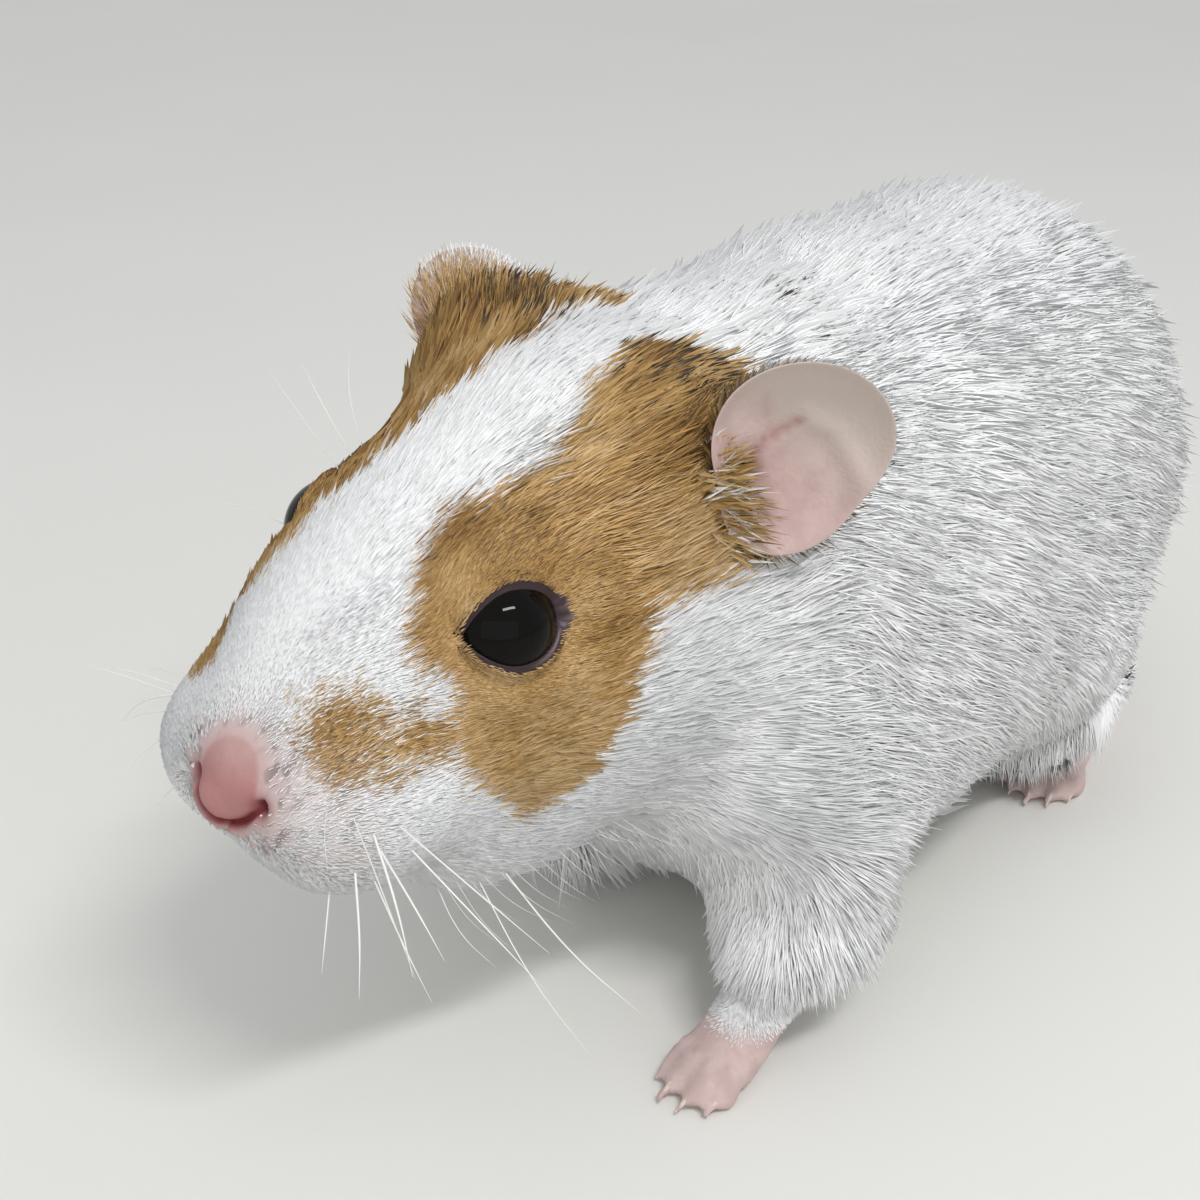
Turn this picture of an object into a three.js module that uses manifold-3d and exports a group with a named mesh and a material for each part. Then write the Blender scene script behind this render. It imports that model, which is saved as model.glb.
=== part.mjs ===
// A life-size young Syrian hamster, walking, with its head held low and turned a little to its right.
// Millimetres, +Z up. The animal faces -Y and its own left side is +X. The origin is on the floor, under
// the middle of the whole animal. The flesh is one smooth field of blended ellipsoids and tapered limbs,
// which stands for the outside of the coat. It is meshed part by part and parted by thin seams.
import * as THREE from "three";
import { mergeVertices } from "three/addons/utils/BufferGeometryUtils.js";
import Module from "manifold-3d";

const wasm = await Module();
wasm.setup();

// ---------------------------------------------------------------- driving sizes

const SEAM = 0.3; // gap between neighbouring parts
const HIP_RADIUS = 22.5; // half the width over the hips
const TRUNK_LENGTH = 46; // from the middle of the chest to the middle of the hips
const HIP_HEIGHT = 27.5;
const EYE_RADIUS = 3.3;
const EYE_HEIGHT = 40.5; // of the point midway between the eyes
const EYE_SPREAD = 8.2; // from that point to the middle of either eyeball
const MUZZLE_LENGTH = 18.4; // from that point to the tip of the nose
const HEAD_YAW = -10; // degrees, negative to the animal's right
const HEAD_PITCH = 7; // degrees, nose down
const HEAD_ROLL = 3; // degrees, left side down
const EAR_HEIGHT = 14;
const EAR_WIDTH = 11.4;
const EAR_THICKNESS = 0.9;
const CLAW_LENGTH = 1.8;
const SIDES = { left: 1, right: -1 };

// ---------------------------------------------------------------- fields

const vec = (x, y, z) => new THREE.Vector3(x, y, z);
const between = (a, b, t) => a.clone().lerp(b, t);
const radians = THREE.MathUtils.degToRad;
const UP = vec(0, 0, 1);

// Signed distance, nearly, to an ellipsoid whose axes follow the given turn.
function ellipsoid(centre, radii, turn = new THREE.Quaternion()) {
  const inverse = turn.clone().invert();
  const p = vec(0, 0, 0);
  return (point) => {
    p.copy(point).sub(centre).applyQuaternion(inverse);
    const k0 = Math.hypot(p.x / radii.x, p.y / radii.y, p.z / radii.z);
    const k1 = Math.hypot(p.x / radii.x ** 2, p.y / radii.y ** 2, p.z / radii.z ** 2);
    return k1 < 1e-9 ? -Math.min(radii.x, radii.y, radii.z) : (k0 * (k0 - 1)) / k1;
  };
}

// Distance to a limb that tapers from radius ra at a to rb at b.
function taper(a, b, ra, rb) {
  const along = b.clone().sub(a);
  const square = along.lengthSq();
  const p = vec(0, 0, 0);
  return (point) => {
    const t = THREE.MathUtils.clamp(p.copy(point).sub(a).dot(along) / square, 0, 1);
    return p.addScaledVector(along, -t).length() - THREE.MathUtils.lerp(ra, rb, t);
  };
}

// The union of several fields, with fillets about as wide as softness.
function blend(softness, ...fields) {
  return (point) => {
    let d = fields[0](point);
    for (const field of fields.slice(1)) {
      const e = field(point);
      const h = Math.max(softness - Math.abs(d - e), 0) / softness;
      d = Math.min(d, e) - (h * h * softness) / 4;
    }
    return d;
  };
}

// A limb through several joints, each [point, radius].
function limb(softness, ...joints) {
  const bones = joints.slice(1).map(([end, r], i) => taper(joints[i][0], end, joints[i][1], r));
  return blend(softness, ...bones);
}

const grown = (field, by) => (point) => field(point) - by;

// ---------------------------------------------------------------- the head

// The head's own axes: x forward to the nose, y to the animal's left, z up.
const headCentre = vec(-3.3, -6.7, EYE_HEIGHT);
const headTurn = new THREE.Quaternion().setFromEuler(
  new THREE.Euler(radians(-HEAD_ROLL), radians(HEAD_PITCH), radians(HEAD_YAW - 90), "ZYX"),
);
const inHead = (x, y, z) => vec(x, y, z).applyQuaternion(headTurn).add(headCentre);
const headward = (x, y, z) => vec(x, y, z).applyQuaternion(headTurn).normalize();
const headEgg = (x, y, z, rx, ry, rz) => ellipsoid(inHead(x, y, z), vec(rx, ry, rz), headTurn);
const bothSides = (make) => Object.values(SIDES).map(make);

const noseTip = inHead(MUZZLE_LENGTH, 0, -8.4);
const eyeCentre = (side) => inHead(0.5, EYE_SPREAD * side, -0.5);

const headField = (() => {
  const braincase = headEgg(-9.5, 0, -1.3, 13.5, 11.2, 10.3);
  const brow = headEgg(-0.3, 0, -1.4, 10.6, 10.3, 6.4);
  const cheeks = bothSides((side) => headEgg(-8, 6.8 * side, -9, 10.5, 7.6, 9.2));
  const bridge = limb(3, [inHead(0, 0, -5), 8.4], [inHead(9, 0, -7), 6.9], [inHead(13, 0, -8.4), 5]);
  const jowls = bothSides((side) => headEgg(-2, 4.2 * side, -16.2, 10.5, 6.8, 6.3));
  // The furred mounds at the roots of the ears. The right ear is laid outwards, which swells its own.
  const earRoots = [headEgg(-13.2, 7.8, 4.6, 6, 3.2, 4), headEgg(-16, -9.8, 4.5, 7.4, 4, 5.3)];
  const chin = limb(2, [inHead(8.6, 0, -15.8), 2.8], [inHead(0, 0, -17), 4.8]);
  const pads = bothSides((side) => headEgg(10.7, 5 * side, -9.6, 6.5, 5.6, 5.4));
  const lips = bothSides((side) => headEgg(3.6, 5.2 * side, -8.6, 8.2, 6.3, 6.6));
  const skull = blend(4.5, braincase, brow, ...cheeks, bridge, ...lips, ...jowls);
  return blend(2.5, skull, ...earRoots, chin, ...pads);
})();

const noseField = blend(
  1.2,
  ellipsoid(inHead(MUZZLE_LENGTH - 2.6, 0, -8.4), vec(2.6, 2.6, 2.7), headTurn),
  ...bothSides((side) => headEgg(MUZZLE_LENGTH - 2.4, 1.7 * side, -9, 1.7, 1.3, 1.5)),
);

// ---------------------------------------------------------------- trunk, tail and limbs

const chest = vec(-1, 17, 29);
const hips = vec(0, 16 + TRUNK_LENGTH, HIP_HEIGHT);
const nape = inHead(-13, 0, -2);

// The foot's heading is in degrees from straight ahead, positive towards the animal's left.
const FORE = {
  left: { shoulder: vec(12, 13, 21), elbow: vec(15.5, 13, 13), wrist: vec(15.4, 7.2, 4.8), heading: -12 },
  right: { shoulder: vec(-12, 18, 21), elbow: vec(-15, 27, 12.5), wrist: vec(-13.5, 25.5, 4.8), heading: 6 },
};
const HIND = {
  left: { hip: vec(9.5, 60, 21), knee: vec(15.5, 52, 14.5), heel: vec(17.5, 64.5, 3.6), heading: 5 },
  right: { hip: vec(-9.5, 58, 21), knee: vec(-15.5, 45, 14.5), heel: vec(-17.5, 56, 3.6), heading: -8 },
};

const forelegField = ({ shoulder, elbow, wrist }) => limb(4, [shoulder, 8], [elbow, 6.2], [wrist, 2.7]);
const hindlegField = ({ hip, knee, heel }) => {
  return limb(5, [hip, 14], [knee, 8.4], [between(knee, heel, 0.6), 5], [heel, 2.8]);
};

const trunkField = (() => {
  const rump = ellipsoid(hips, vec(HIP_RADIUS, 24, HIP_RADIUS + 0.8));
  const loin = ellipsoid(between(chest, hips, 0.5), vec(22, 25, 23.6));
  const ribs = ellipsoid(chest, vec(18.5, 18, 21));
  const flanks = bothSides((side) => {
    return limb(3, [vec(8 * side, 24, 18), 13.5], [vec(8.5 * side, 48, 18.5), 14.5]);
  });
  const neck = limb(4, [nape, 12], [vec(-1, 18, 34.5), 17]);
  return blend(8, ribs, loin, rump, ...flanks, neck);
})();

const fleshField = (() => {
  const withThighs = blend(6, trunkField, ...Object.values(HIND).map(hindlegField));
  return blend(4.5, blend(4, withThighs, ...Object.values(FORE).map(forelegField)), headField);
})();

// A short bare tail under the rump's fur.
const TAIL = [
  [vec(0, 78, 17.5), 2.8],
  [vec(0.5, 86, 15.6), 2.2],
  [vec(1, 90, 14.4), 1.6],
  [vec(1.6, 92.4, 13.6), 0.9],
];

// ---------------------------------------------------------------- feet

// A foot's own axes: x along its heading, y to the animal's left, z up, from under the wrist or the heel.
function footAxes(joint, heading) {
  const turn = new THREE.Quaternion().setFromAxisAngle(UP, radians(heading - 90));
  const origin = vec(joint.x, joint.y, 0);
  return (x, y, z) => vec(x, y, z).applyQuaternion(turn).add(origin);
}

// Toes fan out from the front of the sole. Each is [sideways, reach to the tip of the flesh].
const FORE_TOES = [-2.1, -0.75, 0.75, 2.1].map((y) => [y, 8.4 - 0.35 * y * y]);
const HIND_TOES = [-2.8, -1.5, 0, 1.5, 2.8].map((y) => [y, 15.4 - 0.3 * y * y]);

// Rings along each sole, from the joint to the root of the toes: [forward, up, half width, half height].
const FORE_SOLE = [
  [-3, 6.4, 1.9, 1.9],
  [0, 4.7, 2.5, 2.4],
  [2, 3, 2.6, 2.4],
  [4.2, 1.7, 2.9, 2.1],
  [5.6, 1.3, 2.3, 1.4],
];
const HIND_SOLE = [
  [-2.4, 3.9, 1.9, 2.2],
  [-0.6, 2.7, 2.5, 3.1],
  [3, 2.1, 2.4, 2.5],
  [8, 1.6, 3.2, 2],
  [11, 1.2, 3, 1.3],
];

// ---------------------------------------------------------------- meshing

// Surface nets: one vertex in each cell that the surface crosses, moved onto the surface along its slope.
function meshed(field, box, cell) {
  const size = box.getSize(vec(0, 0, 0));
  const [nx, ny, nz] = [size.x, size.y, size.z].map((side) => Math.ceil(side / cell) + 1);
  const at = (i, j, k) => (k * ny + j) * nx + i;
  const place = (i, j, k) => vec(i, j, k).multiplyScalar(cell).add(box.min);
  const value = new Float64Array(nx * ny * nz);
  for (let k = 0; k < nz; k++)
    for (let j = 0; j < ny; j++)
      for (let i = 0; i < nx; i++) {
        const rim = i === 0 || j === 0 || k === 0 || i === nx - 1 || j === ny - 1 || k === nz - 1;
        value[at(i, j, k)] = rim ? Math.max(field(place(i, j, k)), cell / 2) : field(place(i, j, k));
      }
  const corners = [0, 1, 2, 3, 4, 5, 6, 7].map((c) => [c & 1, (c >> 1) & 1, c >> 2]);
  const edges = corners.flatMap((a, c) => {
    return [1, 2, 4].filter((bit) => !(c & bit)).map((bit) => [a, corners[c | bit]]);
  });
  const vertexOf = new Map();
  const positions = [];
  for (let k = 0; k < nz - 1; k++)
    for (let j = 0; j < ny - 1; j++)
      for (let i = 0; i < nx - 1; i++) {
        const sum = vec(0, 0, 0);
        let crossings = 0;
        for (const [a, b] of edges) {
          const va = value[at(i + a[0], j + a[1], k + a[2])];
          const vb = value[at(i + b[0], j + b[1], k + b[2])];
          if (va < 0 === vb < 0) continue;
          sum.add(vec(...a).lerp(vec(...b), va / (va - vb)));
          crossings++;
        }
        if (!crossings) continue;
        const p = sum.divideScalar(crossings).add(vec(i, j, k)).multiplyScalar(cell).add(box.min);
        vertexOf.set(at(i, j, k), positions.length / 3);
        positions.push(...settled(field, p, cell / 2).toArray());
      }
  const index = [];
  const at3 = (v) => positions.slice(3 * v, 3 * v + 3);
  const steps = [[1, 0, 0], [0, 1, 0], [0, 0, 1]];
  for (let k = 0; k < nz - 1; k++)
    for (let j = 0; j < ny - 1; j++)
      for (let i = 0; i < nx - 1; i++)
        steps.forEach((step, axis) => {
          const inside = value[at(i, j, k)] < 0;
          if (inside === value[at(i + step[0], j + step[1], k + step[2])] < 0) return;
          const u = steps[(axis + 1) % 3];
          const v = steps[(axis + 2) % 3];
          const corner = (s, t) => {
            return vertexOf.get(at(...[i, j, k].map((n, axis) => n - s * u[axis] - t * v[axis])));
          };
          const quad = [corner(1, 1), corner(0, 1), corner(0, 0), corner(1, 0)];
          if (!inside) quad.reverse();
          const across = (a, b) => vec(...at3(quad[a])).distanceTo(vec(...at3(quad[b])));
          if (across(0, 2) > across(1, 3)) quad.push(quad.shift());
          index.push(quad[0], quad[1], quad[2], quad[0], quad[2], quad[3]);
        });
  return new THREE.BufferGeometry()
    .setAttribute("position", new THREE.Float32BufferAttribute(positions, 3))
    .setIndex(index);
}

// The point moved towards the surface along the field's slope, by no more than reach.
function settled(field, p, reach) {
  const h = 0.02;
  for (let round = 0; round < 2; round++) {
    const d = field(p);
    const slope = vec(
      field(p.clone().add(vec(h, 0, 0))) - d,
      field(p.clone().add(vec(0, h, 0))) - d,
      field(p.clone().add(vec(0, 0, h))) - d,
    ).divideScalar(h);
    p.addScaledVector(slope, THREE.MathUtils.clamp(-d / Math.max(slope.lengthSq(), 0.2), -reach, reach));
  }
  return p;
}

// A closed skin over rings of points, each ring of the same count, with a flat cap on either end.
function loft(rings) {
  const count = rings[0].length;
  const index = [];
  for (let r = 0; r < rings.length - 1; r++)
    for (let i = 0; i < count; i++) {
      const [a, b] = [r * count + i, r * count + ((i + 1) % count)];
      index.push(a, b, b + count, a, b + count, a + count);
    }
  const last = (rings.length - 1) * count;
  for (let i = 1; i < count - 1; i++) index.push(0, i + 1, i, last, last + i, last + i + 1);
  const positions = rings.flat().flatMap((p) => p.toArray());
  return new THREE.BufferGeometry()
    .setAttribute("position", new THREE.Float32BufferAttribute(positions, 3))
    .setIndex(index);
}

function solid(geometry) {
  const bare = geometry.clone();
  for (const name of Object.keys(bare.attributes)) if (name !== "position") bare.deleteAttribute(name);
  const merged = mergeVertices(bare, 1e-4);
  const mesh = new wasm.Mesh({
    numProp: 3,
    vertProperties: new Float32Array(merged.attributes.position.array),
    triVerts: new Uint32Array(merged.index.array),
  });
  mesh.merge();
  return new wasm.Manifold(mesh);
}

// The solid's surface, with each edge shorter than the limit drawn together where nothing folds over.
function surfaceOf(made, shortest) {
  const mesh = made.getMesh();
  const points = Array.from({ length: mesh.numVert }, (_, i) => vec(...mesh.position(i)));
  const faces = Array.from({ length: mesh.numTri }, (_, i) => [...mesh.verts(i)]);
  const facesOf = points.map(() => new Set());
  faces.forEach((face, i) => face.forEach((v) => facesOf[v].add(i)));
  const ringOf = (v) => new Set([...facesOf[v]].flatMap((i) => faces[i].filter((w) => w !== v)));
  const slope = ([a, b, c]) => points[b].clone().sub(points[a]).cross(points[c].clone().sub(points[a]));
  const foldsOver = (from, to, face) => {
    const before = slope(face);
    const after = slope(face.map((v) => (v === from ? to : v)));
    return before.length() > 2e-3 && before.dot(after) < 0.97 * before.length() * after.length();
  };
  const canMerge = (from, to) => {
    const shared = [...ringOf(from)].filter((v) => ringOf(to).has(v));
    const moved = [...facesOf[from]].filter((i) => !faces[i].includes(to));
    return shared.length === 2 && !moved.some((i) => foldsOver(from, to, faces[i]));
  };
  const merge = (from, to) => {
    for (const i of facesOf[from]) {
      if (faces[i].includes(to)) {
        faces[i].forEach((v) => v !== from && facesOf[v].delete(i));
        faces[i] = null;
      } else {
        faces[i] = faces[i].map((v) => (v === from ? to : v));
        facesOf[to].add(i);
      }
    }
    facesOf[from].clear();
  };
  for (let round = 0; round < 4; round++)
    for (let i = 0; i < faces.length; i++)
      for (let side = 0; side < 3 && faces[i]; side++) {
        const [a, b] = [faces[i][side], faces[i][(side + 1) % 3]];
        if (points[a].distanceTo(points[b]) >= shortest) continue;
        if (canMerge(a, b)) merge(a, b);
        else if (canMerge(b, a)) merge(b, a);
      }
  const corners = faces.filter(Boolean).flat().map((v) => points[v]);
  return mergeVertices(new THREE.BufferGeometry().setFromPoints(corners), 1e-4);
}

// The largest of a solid's separate bodies, without the crumbs that a cut can leave.
const largest = (made) => made.decompose().sort((a, b) => b.volume() - a.volume())[0];

const boxAbout = (points, reach) => new THREE.Box3().setFromPoints(points).expandByScalar(reach);

// What lies on the side of the plane that its normal points to, less half a seam.
const beyond = (made, { normal, point }, side = 1) => {
  return made.trimByPlane(normal.clone().multiplyScalar(side).toArray(), side * normal.dot(point) + SEAM / 2);
};

// ---------------------------------------------------------------- materials

const finish = (color, roughness) => new THREE.MeshStandardMaterial({ color, roughness, metalness: 0 });
const LOOKS = {
  head: () => finish(0xc09a62, 0.85),
  coat: () => finish(0xdfe1e3, 0.85),
  bare: () => finish(0xc9ada6, 0.6),
  nose: () => finish(0xb5757b, 0.45),
  eye: () => finish(0x0b0807, 0.08),
};

// ---------------------------------------------------------------- assembly

const animal = new THREE.Group();
const add = (name, made, look, shortestEdge) => {
  const mesh = new THREE.Mesh(surfaceOf(made, shortestEdge), LOOKS[look]());
  mesh.name = name;
  animal.add(mesh);
};

// The head stops behind the ears, and the neck at the shoulders.
const nuchalPlane = { point: inHead(-18.5, 0, 0), normal: headward(0.92, 0, 0.38) };
const shoulderPlane = { point: vec(0, 20, 36), normal: vec(0, -0.86, 0.5).normalize() };

const wholeBox = new THREE.Box3(vec(-32, -30, -3), vec(32, 92, 62));
const body = solid(meshed(fleshField, wholeBox, 4));
const legFlesh = solid(meshed(fleshField, wholeBox, 3.3));

// Each leg is what an oval round it cuts out of the whole body, down to the wrist or the ankle.
function ovalAbout(from, to, width, overlap) {
  const half = from.distanceTo(to) / 2 + overlap;
  const turn = new THREE.Quaternion().setFromUnitVectors(UP, from.clone().sub(to).normalize());
  return (extra) => {
    const oval = new THREE.SphereGeometry(1, 14, 9).scale(width + extra, width + extra, half + extra);
    return solid(oval.applyQuaternion(turn).translate(...between(from, to, 0.5).toArray()));
  };
}
const limbs = [
  ...Object.entries(FORE).map(([side, { shoulder, elbow, wrist, heading }]) => {
    return { kind: "fore", side, joint: wrist, heading, oval: ovalAbout(shoulder, wrist, 10, 5) };
  }),
  ...Object.entries(HIND).map(([side, { hip, knee, heel, heading }]) => {
    const oval = ovalAbout(between(hip, knee, 0.3), heel, 13, 5.5);
    return { kind: "hind", side, joint: heel, heading, oval };
  }),
];
for (const leg of limbs) {
  leg.at = footAxes(leg.joint, leg.heading);
  const normal = leg.at(-0.55, 0, 1).sub(leg.at(0, 0, 0)).normalize();
  leg.ankle = { point: vec(leg.joint.x, leg.joint.y, leg.joint.z + 1), normal };
  const whole = beyond(legFlesh.intersect(leg.oval(0)), leg.ankle);
  add(`${leg.kind}leg_${leg.side}`, largest(beyond(whole, nuchalPlane, -1)), "coat", 0.8);
}
const withoutLegs = (made) => limbs.reduce((rest, leg) => rest.subtract(leg.oval(SEAM * 1.5)), made);

const torso = withoutLegs(body);
add("trunk", largest(beyond(torso, shoulderPlane, -1)), "coat", 0.9);
add("neck", largest(beyond(beyond(torso, shoulderPlane), nuchalPlane, -1)), "coat", 0.9);

// A tube through oval rings, each [forward, sideways, up, half width, half height].
const tube = (at, rings, sides) => {
  const points = ([x, y, z, wide, high = wide]) =>
    Array.from({ length: sides }, (_, i) => {
      const angle = ((i + 0.5) * Math.PI * 2) / sides;
      return at(x, y + wide * Math.cos(angle), z + high * Math.sin(angle));
    });
  return solid(loft(rings.map(points)));
};
const toeOn = (at, root, [y, reach]) => {
  const joints = [[root, y * 0.7, 1.7, 1.05], [(root + reach) / 2, y * 0.95, 1.75, 0.95]];
  return tube(at, [...joints, [reach - 0.8, y * 1.14, 0.85, 0.9], [reach, y * 1.18, 0.8, 0.5]], 6);
};
const clawOn = (at, [y, reach]) => {
  const line = [[-0.7, 1, 0.4], [0, 1.1, 0.38], [1, 0.45, 0.2]];
  return tube(at, line.map(([x, z, radius]) => [reach - 0.3 + x * CLAW_LENGTH, y * 1.18, z, radius]), 4);
};
for (const { kind, side, at, ankle } of limbs) {
  const [toes, sole, root] = kind === "fore" ? [FORE_TOES, FORE_SOLE, 4] : [HIND_TOES, HIND_SOLE, 9.2];
  let foot = beyond(tube(at, sole.map(([x, z, wide, high]) => [x, 0, z, wide, high]), 9), ankle, -1);
  for (const toe of toes) foot = foot.add(toeOn(at, root, toe)).add(clawOn(at, toe));
  add(`${kind}foot_${side}`, largest(foot.trimByPlane([0, 0, 1], 0)), "bare", 0.4);
}

// The tail comes out from under the rump.
const tailRings = TAIL.map(([p, radius]) =>
  Array.from({ length: 7 }, (_, i) => {
    const angle = (i * Math.PI * 2) / 7;
    return vec(-Math.cos(angle) * radius, 0.3 * Math.sin(angle) * radius, Math.sin(angle) * radius).add(p);
  }),
);
const bodyRim = solid(meshed(grown(fleshField, SEAM), wholeBox, 3.6));
add("tail", largest(solid(loft(tailRings)).subtract(bodyRim)), "bare", 0.4);

// The head, with sockets for the eyes and a seat for the nose.
const headBox = boxAbout([inHead(-20, 0, 0), inHead(12, 0, -8)], 19);
const ball = (sign, radius) => {
  return solid(new THREE.SphereGeometry(radius, 12, 8).translate(...eyeCentre(sign).toArray()));
};
const noseBox = boxAbout([noseTip], 5);
const noseSeat = solid(meshed(grown(noseField, SEAM * 1.2), noseBox, 0.9));
let head = beyond(solid(meshed(fleshField, headBox, 2.2)), nuchalPlane);
for (const sign of Object.values(SIDES)) head = head.subtract(ball(sign, EYE_RADIUS + SEAM * 1.2));
add("head", largest(head.subtract(noseSeat)), "head", 0.7);
add("nose", solid(meshed(noseField, noseBox, 0.9)), "nose", 0.3);
for (const [side, sign] of Object.entries(SIDES)) add("eye_" + side, ball(sign, EYE_RADIUS), "eye", 0);

// An ear is a thin oval cup, leaning back, whose front edge is rooted in the head behind the eye.
const EAR_ROOT = { left: [-15.5, 13.4, 3.5], right: [-15.5, 13.4, 2.6] };
const EAR_LEAN = { left: 0, right: 36 }; // degrees outwards from upright
const EAR_TURN = { left: 0, right: 38 }; // degrees, its opening towards the back
const EAR_SLANT = radians(8);
const headRim = solid(meshed(grown(fleshField, SEAM), headBox, 2.1));
for (const [side, sign] of Object.entries(SIDES)) {
  const angles = new THREE.Euler(radians(-sign * EAR_LEAN[side]), 0, radians(sign * EAR_TURN[side]));
  const laid = new THREE.Quaternion().setFromEuler(angles);
  const axis = (x, y, z) => vec(x, y * sign, z).applyQuaternion(laid).applyQuaternion(headTurn).normalize();
  const across = axis(-0.76, 0.6, 0.25);
  const upward = axis(0.19, -0.16, 0.97);
  const opening = across.clone().cross(upward).multiplyScalar(sign);
  const [rootX, rootY, rootZ] = EAR_ROOT[side];
  const root = inHead(rootX, rootY * sign, rootZ);
  const surface = (reach, angle, face) => {
    const [long, short] = [(EAR_HEIGHT / 2) * Math.sin(angle), (EAR_WIDTH / 2) * Math.cos(angle)];
    const s = 4.3 + reach * (short * Math.cos(EAR_SLANT) + long * Math.sin(EAR_SLANT));
    const t = 0.4 + reach * (long * Math.cos(EAR_SLANT) - short * Math.sin(EAR_SLANT));
    const cup = 2.2 * (reach * reach - 1) + (face * EAR_THICKNESS) / 2;
    return root.clone().addScaledVector(across, s).addScaledVector(upward, t).addScaledVector(opening, cup);
  };
  const ring = (reach, face) => {
    return Array.from({ length: 18 }, (_, i) => surface(reach, (-sign * i * Math.PI) / 9, face));
  };
  const reaches = [0.35, 0.7, 0.96];
  const front = reaches.map((reach) => ring(reach, 1));
  const back = reaches.map((reach) => ring(reach, -1)).reverse();
  add("ear_" + side, largest(solid(loft([...front, ring(1, 0), ...back])).subtract(headRim)), "bare", 0.4);
}

// The origin is put on the floor under the middle of the whole.
const whole = new THREE.Box3().setFromObject(animal);
const middle = whole.getCenter(vec(0, 0, 0));
animal.position.set(-middle.x, -middle.y, -whole.min.z);

export default animal;
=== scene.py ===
# The looks of a life-size Syrian hamster: white, with golden brown patches over both eyes and cheeks.
# Blender works in metres. Sizes here are in millimetres, and MM turns them into metres.
from math import pi, radians

import bmesh
import bpy
import numpy as np
from mathutils import Euler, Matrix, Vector
from mathutils.kdtree import KDTree


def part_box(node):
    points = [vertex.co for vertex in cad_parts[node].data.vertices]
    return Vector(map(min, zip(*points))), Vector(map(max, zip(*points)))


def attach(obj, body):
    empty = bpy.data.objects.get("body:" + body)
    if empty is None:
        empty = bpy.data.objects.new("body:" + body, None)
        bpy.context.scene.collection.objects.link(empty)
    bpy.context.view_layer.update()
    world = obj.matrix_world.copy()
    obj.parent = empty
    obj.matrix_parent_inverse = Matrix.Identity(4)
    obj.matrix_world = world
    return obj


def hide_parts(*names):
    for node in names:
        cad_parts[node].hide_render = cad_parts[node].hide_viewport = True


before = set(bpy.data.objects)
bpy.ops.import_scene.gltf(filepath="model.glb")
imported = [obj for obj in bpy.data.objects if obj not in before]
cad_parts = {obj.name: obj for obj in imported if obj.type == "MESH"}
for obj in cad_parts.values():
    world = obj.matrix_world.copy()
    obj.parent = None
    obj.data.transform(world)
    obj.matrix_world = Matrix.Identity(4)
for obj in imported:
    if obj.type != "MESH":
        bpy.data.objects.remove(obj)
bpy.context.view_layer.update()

MM = 0.001

# ---------------------------------------------------------------- the camera
# It looks down at the head from the animal's front left, close by, as across a table.


def placed(name, data):
    """A new object, linked into the scene."""
    made = bpy.data.objects.new(name, data)
    bpy.context.scene.collection.objects.link(made)
    return made


LENS = 51
SENSOR_WIDTH = 36
NEAREST_IN_VIEW = 5
CAMERA_PLACE = (62.04, -112.53, 89)
CAMERA_TILT = 62  # degrees up from straight down
CAMERA_HEADING = 35.7  # degrees to the left of +Y, which runs from the nose to the tail
camera_data = bpy.data.cameras.new("camera")
camera_data.lens = LENS
camera_data.sensor_width = SENSOR_WIDTH
camera_data.clip_start = NEAREST_IN_VIEW * MM
camera = placed("camera", camera_data)
camera.location = Vector(CAMERA_PLACE) * MM
camera.rotation_euler = (radians(CAMERA_TILT), 0, radians(CAMERA_HEADING))
bpy.context.scene.camera = camera

# ---------------------------------------------------------------- the skin
# One hide over the whole body, haired but for the nose, eyelids, lips, ears, feet and tail. It is the
# solids' own surface, merged, smoothed and drawn in by the depth of the coat, which is thin on the face
# and deep on the back, and it stands for every node but the eyes.

HEAD_YAW = -10  # degrees, to the animal's right
HEAD_PITCH = 7  # nose down
HEAD_ROLL = 3  # left side down
EYE_OFF_CENTRE = (0.5, 0, -0.5)  # the point between the eyes, in the head's own axes
SEAM_CLOSING = 0.25
UNDER_COAT_VOXEL = 0.5
UNDER_COAT_ROUNDS = 12  # of smoothing
SKIN_VOXEL = 0.4
SKIN_ROUNDS = 4
SMOOTHING = 0.5  # how far a round draws each point towards its neighbours


def middle(node):
    low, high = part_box(node)
    return np.array((low + high) / 2) / MM


# The head's own axes, as columns: forward to the nose, to the animal's left, and up.
HEAD_TURN = np.array(Euler((radians(-HEAD_ROLL), radians(HEAD_PITCH), radians(HEAD_YAW - 90))).to_matrix())
HEAD_CENTRE = (middle("eye_left") + middle("eye_right")) / 2 - HEAD_TURN @ EYE_OFF_CENTRE
SIDES = {"left": 1, "right": -1}
EYES = {side: middle("eye_" + side) for side in SIDES}


def in_head(points):
    return (points - HEAD_CENTRE) @ HEAD_TURN


def from_head(x, y, z):
    return HEAD_TURN @ (x, y, z) + HEAD_CENTRE


def unit(vectors):
    return vectors / np.maximum(np.linalg.norm(vectors, axis=-1, keepdims=True), 1e-9)


def ease(value, low, high):
    """0 up to low, 1 from high on, and smooth between them."""
    t = np.clip((value - low) / (high - low), 0, 1)
    return t * t * (3 - 2 * t)


def places(mesh):
    found = np.empty(len(mesh.vertices) * 3, np.float32)
    mesh.vertices.foreach_get("co", found)
    return found.reshape(-1, 3).astype(float) / MM


def slopes(mesh):
    found = np.empty(len(mesh.vertices) * 3, np.float32)
    mesh.vertices.foreach_get("normal", found)
    return found.reshape(-1, 3).astype(float)


def put(mesh, points):
    mesh.vertices.foreach_set("co", (points * MM).astype(np.float32).ravel())
    mesh.update()


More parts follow.
